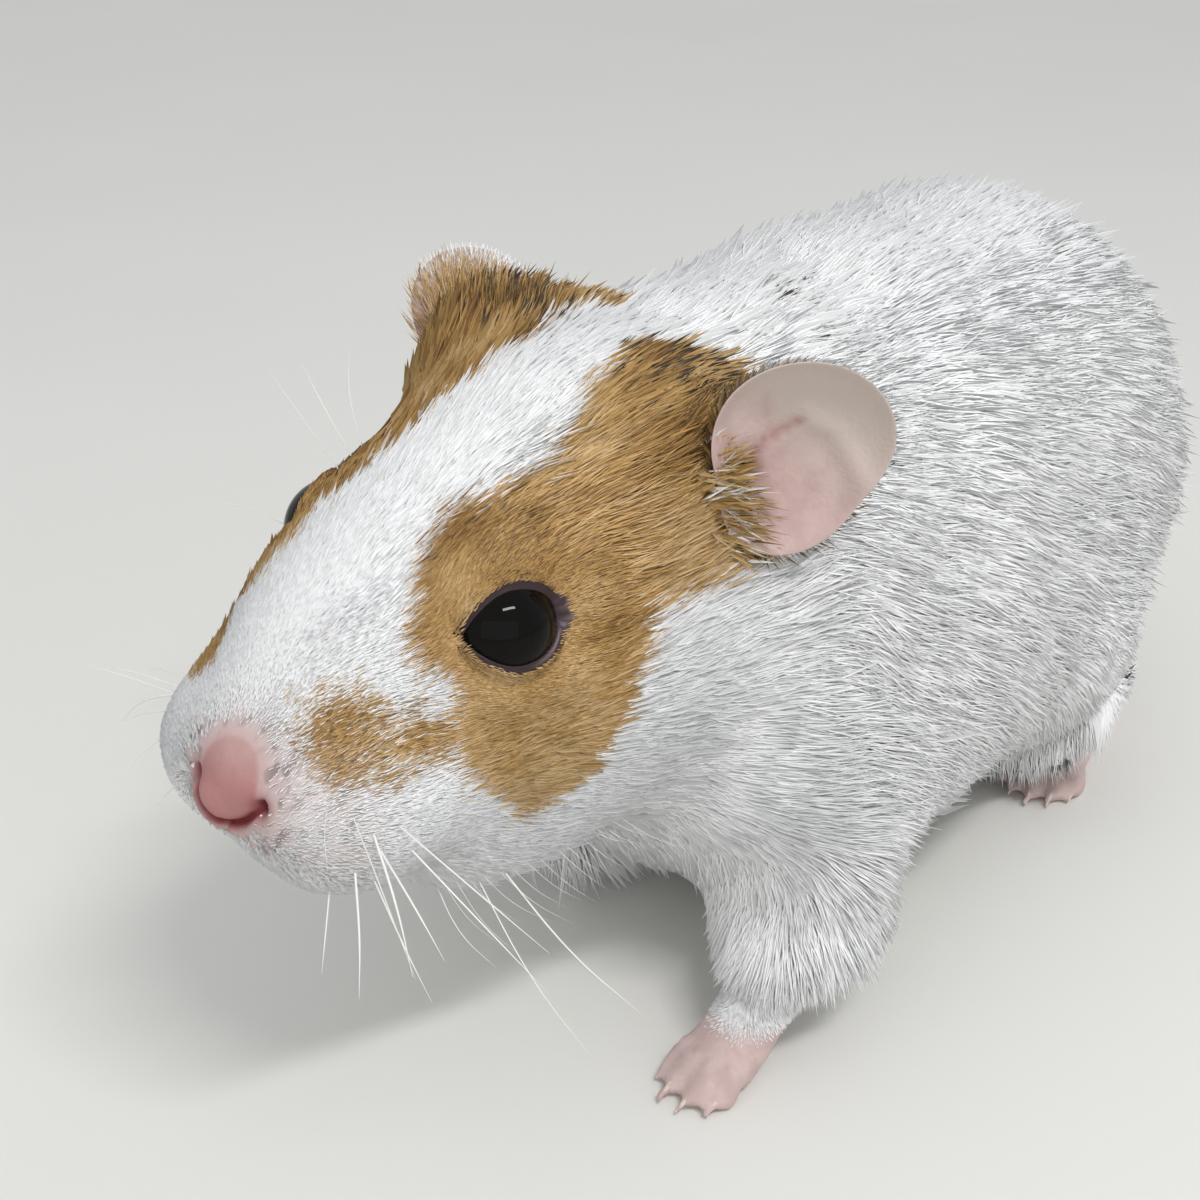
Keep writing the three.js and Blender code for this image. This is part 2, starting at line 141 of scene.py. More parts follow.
# The joints of the legs, from the shoulder or hip down to the wrist or heel, as the solids have them,
# in axes where the middle of the head is at PART_HEAD.
PART_HEAD = (-3.3, -6.7, 40.5)
FRAME_SHIFT = HEAD_CENTRE - PART_HEAD
LEGS = [
    [(12, 13, 21), (15.5, 13, 13), (15.4, 7.2, 4.8)],
    [(-12, 18, 21), (-15, 27, 12.5), (-13.5, 25.5, 4.8)],
    [(9.5, 60, 21), (15.5, 52, 14.5), (17.5, 64.5, 3.6)],
    [(-9.5, 58, 21), (-15.5, 45, 14.5), (-17.5, 56, 3.6)],
]
LEGS = [[np.array(joint) + FRAME_SHIFT for joint in leg] for leg in LEGS]
TAIL_ROOT, TAIL_TIP = np.array((0, 76, 18)) + FRAME_SHIFT, np.array((1.6, 92.4, 13.6)) + FRAME_SHIFT


def beside(points, start, end):
    """How far the points are from a bone, and how far along it, from 0 to 1."""
    start, along = np.array(start, float), np.subtract(end, start)
    t = np.clip((points - start) @ along / (along @ along), 0, 1)
    return np.linalg.norm(points - start - t[:, None] * along, axis=1), t


BODY_DEPTH = 2.4
FACE_DEPTHS = ([-20, -13, -6, 0, 6, 12, 16], [2.2, 1.7, 1.3, 1.0, 0.7, 0.35, 0.15])  # ahead of the eyes
SHANK_DEPTHS = ([4, 8, 14], [0.25, 0.8, 1.6])  # over the floor
TAIL_DEPTH = 0.8
LID_DEPTH = 0.25


def coat_depth(points):
    """The coat's depth over the skin, in millimetres."""
    head = in_head(points)
    on_head = ease(head[:, 0], -24, -14) * ease(head[:, 2], -27, -20)
    face = np.interp(head[:, 0], *FACE_DEPTHS)
    depth = BODY_DEPTH * (1 - on_head) + face * on_head
    for leg in LEGS:
        near, _ = beside(points, leg[1], leg[2])
        shank = (1 - ease(near, 5, 9)) * (1 - ease(points[:, 2], 8, 15))
        depth = depth * (1 - shank) + np.interp(points[:, 2], *SHANK_DEPTHS) * shank
    near, _ = beside(points, TAIL_ROOT, TAIL_TIP)
    depth = depth - (depth - TAIL_DEPTH) * (1 - ease(near, 3, 7))
    for eye in EYES.values():
        depth = LID_DEPTH + (depth - LID_DEPTH) * ease(np.linalg.norm(points - eye, axis=1), 3.6, 8)
    return depth


def as_mesh(shape, name):
    mesh = bpy.data.meshes.new(name)
    shape.to_mesh(mesh)
    shape.free()
    return mesh


def add_node(shape, node, growth):
    """A merged copy of a CAD node, grown enough to close the seams between neighbours."""
    copy = bmesh.new()
    copy.from_mesh(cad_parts[node].data)
    bmesh.ops.remove_doubles(copy, verts=copy.verts, dist=0.001 * MM)
    copy.normal_update()
    for vert in copy.verts:
        vert.co += vert.normal * growth * MM
    mesh = as_mesh(copy, node)
    shape.from_mesh(mesh)
    bpy.data.meshes.remove(mesh)


def finished(shape, name, modifiers):
    """The bmesh as a mesh, through a list of (modifier type, settings)."""
    made = placed(name, as_mesh(shape, name))
    for kind, settings in modifiers:
        modifier = made.modifiers.new(kind, kind)
        for key, value in settings.items():
            setattr(modifier, key, value)
    graph = bpy.context.evaluated_depsgraph_get()
    result = bpy.data.meshes.new_from_object(made.evaluated_get(graph), depsgraph=graph)
    bpy.data.objects.remove(made)
    return result


def remeshing(voxel, rounds):
    return [
        ("REMESH", {"mode": "VOXEL", "voxel_size": voxel * MM}),
        ("SMOOTH", {"factor": SMOOTHING, "iterations": rounds}),
    ]


FURRED = ["head", "neck", "trunk", "foreleg_left", "foreleg_right", "hindleg_left", "hindleg_right"]
BARE = ["nose", "tail", "forefoot_left", "forefoot_right", "hindfoot_left", "hindfoot_right"]

flesh = bmesh.new()
for node in FURRED:
    add_node(flesh, node, SEAM_CLOSING)
under_coat = finished(flesh, "under_coat", remeshing(UNDER_COAT_VOXEL, UNDER_COAT_ROUNDS))
put(under_coat, places(under_coat) - slopes(under_coat) * coat_depth(places(under_coat))[:, None])

EYE_RADIUS = 3.4
LID_THICKNESS = 0.3
flesh = bmesh.new()
flesh.from_mesh(under_coat)
for node in BARE:
    add_node(flesh, node, SEAM_CLOSING if "foot" in node else 0)
for eye in EYES.values():
    lids = bmesh.ops.create_icosphere(flesh, subdivisions=4, radius=(EYE_RADIUS + LID_THICKNESS) * MM)
    bmesh.ops.translate(flesh, verts=lids["verts"], vec=Vector(eye) * MM)
whole = finished(flesh, "skin", remeshing(SKIN_VOXEL, SKIN_ROUNDS))

# Under the deep coat of the body the mesh is coarse, and round the eyes and nose it is fine.
BODY_KEPT = 0.08
BODY_BEHIND = -15  # in the head's own axes
BODY_ABOVE = 7  # over the floor
skin = placed("skin", whole)
points = places(whole)
deep = np.nonzero((in_head(points)[:, 0] < BODY_BEHIND) & (points[:, 2] > BODY_ABOVE))[0]
coarse = skin.vertex_groups.new(name="coarse")
coarse.add(deep.tolist(), 1.0, "REPLACE")
thin = skin.modifiers.new("thin", "DECIMATE")
thin.ratio = 1 - (1 - BODY_KEPT) * len(deep) / len(points)
thin.vertex_group = "coarse"
thin.vertex_group_factor = 1000
graph = bpy.context.evaluated_depsgraph_get()
skin_mesh = bpy.data.meshes.new_from_object(skin.evaluated_get(graph), depsgraph=graph)
skin.modifiers.clear()
skin.vertex_groups.clear()
skin.data = skin_mesh

NOSE = from_head(17, 1.6, -6.8)
FINE_SPOTS = [(eye, 4.8) for eye in EYES.values()] + [(NOSE, 5)]  # each with how far round it is fine
FINE_ROUNDS = 2


def verts_near(shape, spot, reach):
    centre = Vector(spot) * MM
    return [vert for vert in shape.verts if (vert.co - centre).length < reach * MM]


def soften_nose(shape, reach, rounds):
    axes = {"use_axis_x": True, "use_axis_y": True, "use_axis_z": True}
    tip = verts_near(shape, NOSE, reach)
    for _ in range(rounds):
        bmesh.ops.smooth_vert(shape, verts=tip, factor=SMOOTHING, **axes)


fine = bmesh.new()
fine.from_mesh(skin_mesh)
soften_nose(fine, 4.6, 10)
for _ in range(FINE_ROUNDS):
    picked = set()
    for spot, reach in FINE_SPOTS:
        near = set(verts_near(fine, spot, reach))
        picked.update(edge for vert in near for edge in vert.link_edges if edge.other_vert(vert) in near)
    edges = [edge for edge in fine.edges if edge in picked]
    bmesh.ops.subdivide_edges(fine, edges=edges, cuts=1, use_grid_fill=True)
bmesh.ops.triangulate(fine, faces=[face for face in fine.faces if len(face.verts) > 4])
soften_nose(fine, 4.4, 30)
fine.to_mesh(skin_mesh)
fine.free()

# ---- the eyelids: an almond opening, pointed towards the nose, whose rim lies on the eyeball
EYE_AXIS = {1: np.array((0.23, 0.87, 0.43)), -1: np.array((0.3, 0.77, 0.56))}  # left and right
EYE_LONG = np.array((1, -0.25, 0.14))
EYE_HALF_LENGTH = 68  # degrees round the eyeball
EYE_HALF_HEIGHT = 43
LID_REACH = 6.4  # from the eye's middle
LID_WIDTH = 1.6  # from the opening's edge
LID_ANGLE = 115  # degrees round the eyeball
LID_EDGE = 0.08  # how far the rim stands off the ball
LID_ROLL = 0.08  # how much thicker the rim is
BEHIND_EYE = 0.6  # how far under the ball's surface the skin goes on


def eye_axes(sign):
    """The eye's own axes in the world: outwards, towards the front corner, and up."""
    out = unit(EYE_AXIS[sign])
    long = unit(EYE_LONG - out * (EYE_LONG @ out))
    return [HEAD_TURN @ (axis * (1, sign, 1)) for axis in (out, long, np.cross(out, long))]


def lid_distance(points, side):
    """How far outside the opening's edge the points are, along the eyeball, in millimetres."""
    out, long, up = eye_axes(SIDES[side])
    ray = unit(points - EYES[side])
    angle = np.degrees(np.arccos(np.clip(ray @ out, -1, 1)))
    x, y = ray @ long, ray @ up
    size = np.maximum(np.hypot(x, y), 1e-9)
    x, y = x / size * angle / EYE_HALF_LENGTH, y / size * angle / EYE_HALF_HEIGHT

    def level(x, y):
        front = np.abs(y) + np.maximum(x, 0) ** 1.7
        back = np.hypot(x, y)
        return np.where(x > 0, 0.75 * np.maximum(front, back) + 0.25 * back, back) - 1

    step = 0.01
    slope_x = (level(x + step, y) - level(x - step, y)) / (2 * step) / EYE_HALF_LENGTH
    slope_y = (level(x, y + step) - level(x, y - step)) / (2 * step) / EYE_HALF_HEIGHT
    return level(x, y) / np.maximum(np.hypot(slope_x, slope_y), 1e-4) * radians(EYE_RADIUS), angle


def lid_gap(points, side):
    """How far the points are from the edge of the eye's opening, below 0 inside it, in millimetres."""
    gap, _ = lid_distance(points, side)
    reach = np.linalg.norm(points - EYES[side], axis=1)
    return np.where(gap > 0, np.hypot(gap, np.maximum(reach - EYE_RADIUS - 0.5, 0)), gap)


points = places(skin_mesh)
for side, eye in EYES.items():
    gap, angle = lid_distance(points, side)
    reach = np.linalg.norm(points - eye, axis=1)
    near = (reach < LID_REACH) & (gap < LID_WIDTH) & (angle < LID_ANGLE)
    rim = EYE_RADIUS + LID_EDGE + (LID_THICKNESS - LID_EDGE) * ease(gap, 0, 0.3)
    rim = rim + LID_ROLL * np.exp(-(((gap - 0.32) / 0.15) ** 2))
    target = np.where(gap < 0, EYE_RADIUS - BEHIND_EYE + 0.7 * ease(gap, -0.3, 0), rim)
    blend_out = np.maximum(ease(gap, 0.4, 1.5), ease(reach, 4.8, 6.2))
    radius = np.where(gap < 0, target, target * (1 - blend_out) + np.maximum(reach, target) * blend_out)
    points[near] = (eye + unit(points - eye) * radius[:, None])[near]
put(skin_mesh, points)


# ---- the nose: a pink pad with a crescent slit under it, whose ends curl up into the nostrils
PAD_MIDDLE = (17, 1.6, -6.3)  # the tip is drawn a little to the left, as in sniffing
SLIT_LOWEST = -2.5
SLIT_CURVE = 0.26
SLIT_HALF_LENGTH = 2.6
SLIT_DEPTH, SLIT_WIDTH = 0.55, 0.24
NOSTRIL = (2.75, -0.55)
NOSTRIL_DEPTH, NOSTRIL_WIDTH = 0.9, 0.42
PHILTRUM_HALF_LENGTH = 1.5
PHILTRUM_DEPTH, PHILTRUM_WIDTH = 0.3, 0.25
PAD_SWELL = 0.3
PAD_LIP = 0.14


def at_nose(points):
    """Sideways and upwards from the middle of the pad."""
    head = in_head(points)
    return head[:, 1] - PAD_MIDDLE[1], head[:, 2] - PAD_MIDDLE[2]


def slit_distance(points, lower=0):
    across, up = at_nose(points)
    off = np.abs(up + lower - SLIT_LOWEST - SLIT_CURVE * across**2) / np.hypot(1, 2 * SLIT_CURVE * across)
    return np.hypot(off, np.maximum(np.abs(across) - SLIT_HALF_LENGTH, 0))


def nostril_distance(points):
    across, up = at_nose(points)
    return np.hypot(np.abs(across) - NOSTRIL[0], up - NOSTRIL[1])


def philtrum_distance(points):
    across, up = at_nose(points)
    below = np.abs(up - SLIT_LOWEST + PHILTRUM_HALF_LENGTH) - PHILTRUM_HALF_LENGTH
    return np.hypot(across, np.maximum(below, 0))


def bump(distance, width):
    return np.exp(-((distance / width) ** 2))


points = places(skin_mesh)
front = ease(in_head(points)[:, 0], 13.2, 14.6)
across, up = at_nose(points)
carved = SLIT_DEPTH * bump(slit_distance(points), SLIT_WIDTH)
carved = carved + NOSTRIL_DEPTH * bump(nostril_distance(points), NOSTRIL_WIDTH)
carved = carved + PHILTRUM_DEPTH * bump(philtrum_distance(points), PHILTRUM_WIDTH)
swell = PAD_SWELL * bump(np.hypot(across / 1.15, up + 0.4), 1.9)
swell = swell + PAD_LIP * bump(slit_distance(points, 0.5), 0.3)
points = points + HEAD_TURN[:, 0] * (front * (swell - carved))[:, None]
points[:, 2] = np.maximum(points[:, 2], 0)  # the soles rest on the floor
put(skin_mesh, points)

# ---- the ears: thin bare dishes that open forwards and outwards, rooted behind the eyes in the fur
EAR_ROOT = {"left": (-15.5, 13.4, 4.1), "right": (-15.5, 13.4, 3.2)}
EAR_ACROSS = (-0.76, 0.6, 0.25)
EAR_UP = (0.19, -0.16, 0.97)
EAR_LEAN = {"left": 0, "right": 36}  # degrees outwards
EAR_TURN = {"left": 0, "right": 38}  # degrees, the opening towards the back
EAR_MIDDLE = (3.4, 0.4)
EAR_OUTLINE = [(-180, 4.6), (-135, 6.6), (-105, 6.9), (-80, 6.1), (-50, 5.2), (-25, 6.1), (0, 6.7), (25, 6.9)]
EAR_OUTLINE += [(50, 7.0), (80, 6.9), (110, 6.6), (145, 5.4)]
EAR_CUP = 2.2
EAR_HOLLOW = 1.3
EAR_RIM = 0.25
EAR_THICKNESS = 0.55
EAR_GRID = (84, 32)  # round the ear, and from its front to its back
CREASE = [(-0.3, -0.2), (2.2, 1.3), (4.6, 2.1)]
CREASE_DEPTH = 0.28
BRANCH = [(2.4, 1.5), (3.0, 4.6)]
BRANCH_DEPTH = 0.1
FOLD = [(5.0, 2.4), (6.6, 0.6), (7.2, -2.6)]
FOLD_HEIGHT = 0.35


def line_distance(s, t, line):
    flat = np.stack([s, t, np.zeros(len(s))], axis=1)
    return np.min([beside(flat, (*a, 0), (*b, 0))[0] for a, b in zip(line, line[1:])], axis=0)


def ear_reach(angle):
    """From the middle of the ear to its edge, through the outline's points with round corners."""
    turns, radii = np.array(EAR_OUTLINE).T
    turned = [(angle + shift + 180) % 360 - 180 for shift in (-18, -9, 0, 9, 18)]
    spread = [np.interp(turn, turns, radii, period=360) for turn in turned]
    return np.average(spread, axis=0, weights=(1, 2, 3, 2, 1))


def ear_axes(side):
    sign = SIDES[side]
    laid = Euler((radians(-sign * EAR_LEAN[side]), 0, 0)).to_matrix()
    laid = HEAD_TURN @ np.array(laid @ Euler((0, 0, radians(sign * EAR_TURN[side]))).to_matrix())
    across = laid @ unit(np.multiply(EAR_ACROSS, (1, sign, 1)))
    upward = laid @ unit(np.multiply(EAR_UP, (1, sign, 1)))
    return across, upward, unit(np.cross(across, upward)) * sign


def ear_root(side):
    return from_head(*np.multiply(EAR_ROOT[side], (1, SIDES[side], 1)))


def at_ear(points, side):
    """Places on an ear: across it from its root, up it, and out of its opening."""
    across, upward, opening = ear_axes(side)
    away = points - ear_root(side)
    return away @ across, away @ upward, away @ opening


ear_from = len(skin_mesh.vertices)
whole_skin = bmesh.new()
whole_skin.from_mesh(skin_mesh)
ear_sides = []
for side in SIDES:
    pinna = bmesh.new()
    turns, rows = EAR_GRID
    bmesh.ops.create_grid(pinna, x_segments=turns, y_segments=rows, size=1)
    across, upward, opening = ear_axes(side)
    root = ear_root(side)
    raw = np.array([v.co for v in pinna.verts])
    angle, turn = raw[:, 0] * 180, raw[:, 1] * pi / 2
    reach, face = np.cos(turn), np.sin(turn)
    span = reach * ear_reach(angle)
    s, t = EAR_MIDDLE[0] + span * np.cos(np.radians(angle)), EAR_MIDDLE[1] + span * np.sin(np.radians(angle))
    cup = EAR_CUP * (reach**2 - 1) - EAR_HOLLOW * bump(np.hypot(s + 0.2, t + 0.2), 1.3)
    cup = cup - CREASE_DEPTH * bump(line_distance(s, t, CREASE), 0.3)
    cup = cup - BRANCH_DEPTH * bump(line_distance(s, t, BRANCH), 0.3)
    cup = cup + FOLD_HEIGHT * bump(line_distance(s, t, FOLD), 0.7) + EAR_RIM * bump(1 - reach, 0.1)
    wall = EAR_THICKNESS / 2 * np.sign(face) * np.abs(face) ** 0.5 * (1.25 - 0.55 * reach)
    made = root + s[:, None] * across + t[:, None] * upward + (cup + wall)[:, None] * opening
    for vert, place in zip(pinna.verts, made * MM):
        vert.co = place
    bmesh.ops.remove_doubles(pinna, verts=pinna.verts, dist=0.005 * MM)
    bmesh.ops.recalc_face_normals(pinna, faces=pinna.faces)
    mesh = as_mesh(pinna, "ear")
    ear_sides += [side] * len(mesh.vertices)
    whole_skin.from_mesh(mesh)
    bpy.data.meshes.remove(mesh)
whole_skin.to_mesh(skin_mesh)
whole_skin.free()

# The skin's own unwrap, which the coat's tufts take their places from.
SPLIT_ANGLE = 66
ISLAND_MARGIN = 0.002
MAP = "OFBake"
bpy.context.view_layer.objects.active = skin
skin.select_set(True)
bpy.ops.object.mode_set(mode="EDIT")
bpy.ops.mesh.select_all(action="SELECT")
bpy.ops.uv.smart_project(angle_limit=radians(SPLIT_ANGLE), island_margin=ISLAND_MARGIN)
bpy.ops.object.mode_set(mode="OBJECT")
skin_mesh.uv_layers[0].name = MAP

# ---------------------------------------------------------------- the markings
# White, with a golden patch over each eye, from the cheek to the ear, and a smaller one on the muzzle.
# Skin and hairs take their colours from the same fields, in the head's own axes. Bare skin is pink.


def ripple(points, size, seed):
    """A soft random field, mostly from -1 to 1, whose waves are about that size in millimetres."""
    chance = np.random.default_rng(seed)
    total = np.zeros(len(points))
    for _ in range(9):
        wave = chance.normal(size=3)
        wave *= 2 * pi / size * chance.uniform(0.6, 1.5) / np.linalg.norm(wave)
        total += np.sin(points @ wave + chance.uniform(0, 2 * pi))
    return total / 4.5


# The blaze's edges, as how far from the midline they run at each distance ahead of the eyes.
BLAZE_EDGE = {
    "left": [
        (-26, 4.2), (-18, 2.4), (-12.6, 3.6), (-8.3, 5.8), (-4.6, 5.7), (0.3, 3.4), (3.5, 4.7), (6.6, 7.4),
    ],
    "right": [(-20, 5.5), (-13, 2.6), (-8, 2), (-5, 2.6), (-1.7, 3.2), (1.7, 4), (5, 4.4), (11, 5)],
}
# The height of the cheek's lower edge at each distance ahead of the eyes.
CHEEK_EDGE = [
    (-26, 4), (-17, -2.4), (-8, -2.2), (-5.3, -6.7), (-2.3, -11), (0, -12.8), (3, -12.7), (6.3, -7.4),
]
FRONT_EDGE = {"left": 6.5, "right": 9.4}
BACK_EDGE = -24
NOTCH, NOTCH_RADIUS = (6.6, -2), 1.2  # a white bite out of the left patch's front
BRIDGE = (8, -4.2)  # between the cheek and the muzzle's spot
BRIDGE_HALF_LENGTH, BRIDGE_HALF_HEIGHT = 2.5, 1.2
MUZZLE_SPOT = (11.6, 6.6, -3.3)
MUZZLE_SPOT_RADII = (2.5, 2.9, 2.6)
NAPE_SMUDGE = (-35.5, 1.2, 6.3)


def golden(points):
    """How far inside the golden patches the points are, in millimetres."""
    head = in_head(points)
    found = np.full(len(points), -9.0)
    for side, sign in SIDES.items():
        x, y, z = head[:, 0], head[:, 1] * sign, head[:, 2]
        blaze = y - np.interp(x, *np.array(BLAZE_EDGE[side]).T)
        cheek = z - np.interp(x, *np.array(CHEEK_EDGE).T)
        low = np.clip((-1.5 - z) / 2, 0, 1)
        front = FRONT_EDGE[side] * (1 - low) + FRONT_EDGE["left"] * low - x + 0.6 * ripple(points, 5, 31)
        back = x - BACK_EDGE + 0.5 * np.minimum(z, 0)
        notch = np.hypot(x - NOTCH[0], (z - NOTCH[1]) * 1.2) - NOTCH_RADIUS
        patch = np.minimum.reduce([blaze, cheek, front, back, notch if side == "left" else back])
        spot = (1 - np.linalg.norm((head * (1, sign, 1) - MUZZLE_SPOT) / MUZZLE_SPOT_RADII, axis=1)) * 2.8
        off_end = np.maximum(np.abs(x - BRIDGE[0]) - BRIDGE_HALF_LENGTH, 0)
        bridge = BRIDGE_HALF_HEIGHT - np.hypot(z - BRIDGE[1], off_end)
        found = np.maximum(found, np.maximum.reduce([patch, spot, np.where(y > 6, bridge, -9)]))
    return found + 0.45 * ripple(points, 3.2, 32) + 0.2 * ripple(points, 1.1, 33)


def above_eyes(points, shift, size):
    """1 at a place near each eye, fading out over size. shift is forward, outwards and up of the eye."""
    head = in_head(points)
    near = 0
    for side, sign in SIDES.items():
        off = (head - in_head(EYES[side])) * (1, sign, 1) - shift
        near = near + bump(np.linalg.norm(off / size, axis=1), 1)
    return np.clip(near, 0, 1)


def sooty(points):
    """Where the hairs have dark tips: before and above the ears, over the eyes and on the nape."""
    head = in_head(points)
    crown = bump(head[:, 0] + 18, 4) * ease(head[:, 2], 1, 6) * ease(np.abs(head[:, 1]), 0.8, 2.6)
    brow = above_eyes(points, (-2, 0, 4), (3.4, 3.5, 2.6))
    spot = 0.35 * bump(np.linalg.norm(head - MUZZLE_SPOT + (0, 0, 1), axis=1), 2.8)
    nape = 0.9 * bump(np.linalg.norm((head - NAPE_SMUDGE) / (1, 1.6, 1), axis=1), 2.2)
    return np.clip(np.maximum.reduce([0.7 * crown, 0.45 * brow, nape, spot]), 0, 1)


def deep_gold(points):
    """0 where the gold is pale, as before the ears, to 1 where it is deep, as over and behind the eyes. It is
    also a little deeper all over the animal's right side, which is painted shade.
    """
    head = in_head(points)
    eyes = above_eyes(points, (-1.5, 0, 3.6), (4.2, 5, 3.2))
    eyes = eyes + 0.6 * above_eyes(points, (-5.5, 0, -2), (3, 4, 4))
    spot = bump(np.linalg.norm(head - MUZZLE_SPOT, axis=1), 4)
    crown = 0.3 * bump(head[:, 0] + 15, 4) * ease(head[:, 2], 2, 6)
    pale = 0.9 * bump(head[:, 0] + 17, 5) * (1 - ease(head[:, 2], 0, 4)) + 0.35 * ease(-head[:, 2], 6, 12)
    # Painted shade: the gold on the animal's right side is deepened because that side lies in shade.
    right = 0.15 * ease(-head[:, 1], 0, 5)
    depth = 0.3 + 0.55 * eyes + 0.1 * spot + crown + right - pale + 0.28 * ripple(points, 4.5, 34)
    return np.clip(depth, 0, 1)


ROUND_EYE = 6  # from its middle
FAR = 9


def rim_gap(points):
    """How far the points are from the edge of an eye's opening, and FAR away from both eyes."""
    gaps = []
    for side, eye in EYES.items():
        close = np.linalg.norm(points - eye, axis=1) < ROUND_EYE
        gaps.append(np.where(close, lid_gap(points, side), FAR))
    return np.minimum(*gaps)


PAD_HALF_WIDTH = 2.9
PAD_ABOVE = 3.3
PAD_BELOW = 3.4


def on_pad(points):
    """1 on the nose's bare pad and 0 away from it."""
    across, up = at_nose(points)
    inside = np.hypot(across / PAD_HALF_WIDTH, np.where(up > 0, up / PAD_ABOVE, up / PAD_BELOW))
    return (1 - ease(inside, 0.75, 1.15)) * ease(in_head(points)[:, 0], 12.6, 14)


def on_lips(points):
    """1 round the nose and on the lips, where the hair is thin over mauve skin, and 0 further back."""
    head = in_head(points)
    nose = 1 - ease(np.linalg.norm(points - NOSE, axis=1), 3.5, 8.5)
    lips = (1 - ease(np.abs(head[:, 2] + 10.5), 1.5, 4)) * ease(head[:, 0], 11, 14)
    return np.clip(np.maximum(nose, 0.8 * lips), 0, 1) * ease(head[:, 0], 9, 12)


WHISKER_PAD, WHISKER_PAD_RADIUS = (13.3, 7.5, -7.2), 4.1


def whisker_pad(points):
    """1 where the whiskers grow, on each side of the muzzle, fading to 0."""
    head = in_head(points)
    head[:, 1] = np.abs(head[:, 1])
    return bump(np.linalg.norm(head - WHISKER_PAD, axis=1), WHISKER_PAD_RADIUS)


def on_limb_ends(points):
    """1 on the bare feet and tail."""
    feet = (1 - ease(points[:, 2], 3.5, 6.5)) * (np.abs(points[:, 0]) > 7)
    beyond = (points - TAIL_ROOT) @ unit(TAIL_TIP - TAIL_ROOT)
    near, _ = beside(points, TAIL_ROOT, TAIL_TIP)
    return np.maximum(feet, ease(beyond, 5, 7.5) * (near < 4))


def paint(mesh, **fields):
    for key, value in fields.items():
        made = mesh.attributes.new(key, "FLOAT", "POINT")
        made.data.foreach_set("value", value.astype(np.float32))


points = places(skin_mesh)
is_ear = np.arange(len(points)) >= ear_from
gap = np.where(is_ear, FAR, rim_gap(points))
pad = on_pad(points)
front = ease(in_head(points)[:, 0], 13, 14.5)
across, up = at_nose(points)
slit_red = np.maximum(bump(slit_distance(points), 0.42), bump(nostril_distance(points), 0.75)) * front
under = 0.7 * front * bump(np.hypot(across / 1.6, up - SLIT_LOWEST + 0.9), 0.9)
lip_of_pad = bump(slit_distance(points, 0.6), 0.42) * front * (up > SLIT_LOWEST)
blush = np.maximum.reduce([(0.75 - 0.3 * ease(up, 0, 2.5)) * pad, slit_red, under]) * (1 - 0.6 * lip_of_pad)
spots = ease(ripple(points, 1.5, 41) + 0.6 * ripple(points, 0.8, 42), 0.15, 0.9)
lips = on_lips(points)
whiskered = whisker_pad(points)
dusk = np.maximum(np.maximum(lips, whiskered) * (0.1 + 0.5 * spots) * (1 - pad), 1 - ease(gap, 0.3, 0.7))
low = np.zeros(len(points))
for eye in EYES.values():
    off = in_head(points) - in_head(eye)
    low = np.where(np.linalg.norm(off, axis=1) < ROUND_EYE, -0.9 * off[:, 2] - 0.6 * off[:, 0], low)
moist = bump(gap - 0.08, 0.07) * ease(low, 0.4, 2)
bare = np.maximum.reduce([on_limb_ends(points), pad, 0.85 * lips, 0.7 * whiskered, 1 - ease(gap, 0.35, 0.9)])
ashen = np.zeros(len(points))
ear_back = np.zeros(len(points))
ear_reaches = np.zeros(len(points))
for side in SIDES:
    s, t, _ = at_ear(points, side)
    this = np.zeros(len(points), bool)
    this[ear_from:] = np.array(ear_sides) == side
    red = bump(np.hypot(s + 0.1, t - 0.1), 1.2) + 0.6 * bump(line_distance(s, t, CREASE), 0.32)
    red = red + 0.2 * bump(line_distance(s, t, BRANCH), 0.26) + 0.18 * bump(np.hypot(s - 1.8, t + 1.8), 2.6)
    blush = np.where(this, np.clip(0.07 + 0.7 * red, 0, 1), blush)
    ashen = np.where(this, ease(s * 0.8 + 0.55 * t, 1.5, 6.5), ashen)
    ear_back = np.where(this, ((slopes(skin_mesh) @ ear_axes(side)[2]) < 0).astype(float), ear_back)
    away = np.hypot(s - EAR_MIDDLE[0], t - EAR_MIDDLE[1])
    turn = np.degrees(np.arctan2(t - EAR_MIDDLE[1], s - EAR_MIDDLE[0]))
    ear_reaches = np.where(this, away / ear_reach(turn), ear_reaches)
paint(
    skin_mesh,
    gold=np.where(is_ear, 0, ease(golden(points), -0.7, 0.7)),
    bare=np.where(is_ear, 1, bare),
    blush=blush,
    dusk=np.where(is_ear, 0, dusk),
    moist=moist,
    slit_red=np.where(is_ear, 0, slit_red),
    ashen=ashen,
)

# ---------------------------------------------------------------- the bare skin
# Pink on the ears, nose, lips, feet and tail, mauve and spotted where the whiskers grow, and dark round
# the eyes, with a fine wrinkled grain. Under the coat it takes the colour of the hair's roots.


def shader_of(name):
    material = bpy.data.materials.new(name)
    material.use_nodes = True
    return material, material.node_tree, material.node_tree.nodes["Principled BSDF"]


def attribute(tree, name):
    node = tree.nodes.new("ShaderNodeAttribute")
    node.attribute_name = name
    return node.outputs["Fac"]


def mixed(tree, factor, first, second):
    """A colour that goes from first to second. Each is a colour or a socket."""
    node = tree.nodes.new("ShaderNodeMix")
    node.data_type = "RGBA"
    sockets = {s.identifier: s for s in node.inputs}
    for key, value in {"Factor_Float": factor, "A_Color": first, "B_Color": second}.items():
        if isinstance(value, bpy.types.NodeSocket):
            tree.links.new(value, sockets[key])
        else:
            sockets[key].default_value = value if key == "Factor_Float" else (*value, 1)
    return next(o for o in node.outputs if o.identifier == "Result_Color")


def spanned(tree, value, low, high):
    """0 to 1 as the value goes from low to high."""
    node = tree.nodes.new("ShaderNodeMapRange")
    node.interpolation_type = "SMOOTHSTEP"
    tree.links.new(value, node.inputs["Value"])
    node.inputs["From Min"].default_value = low
    node.inputs["From Max"].default_value = high
    return node.outputs["Result"]


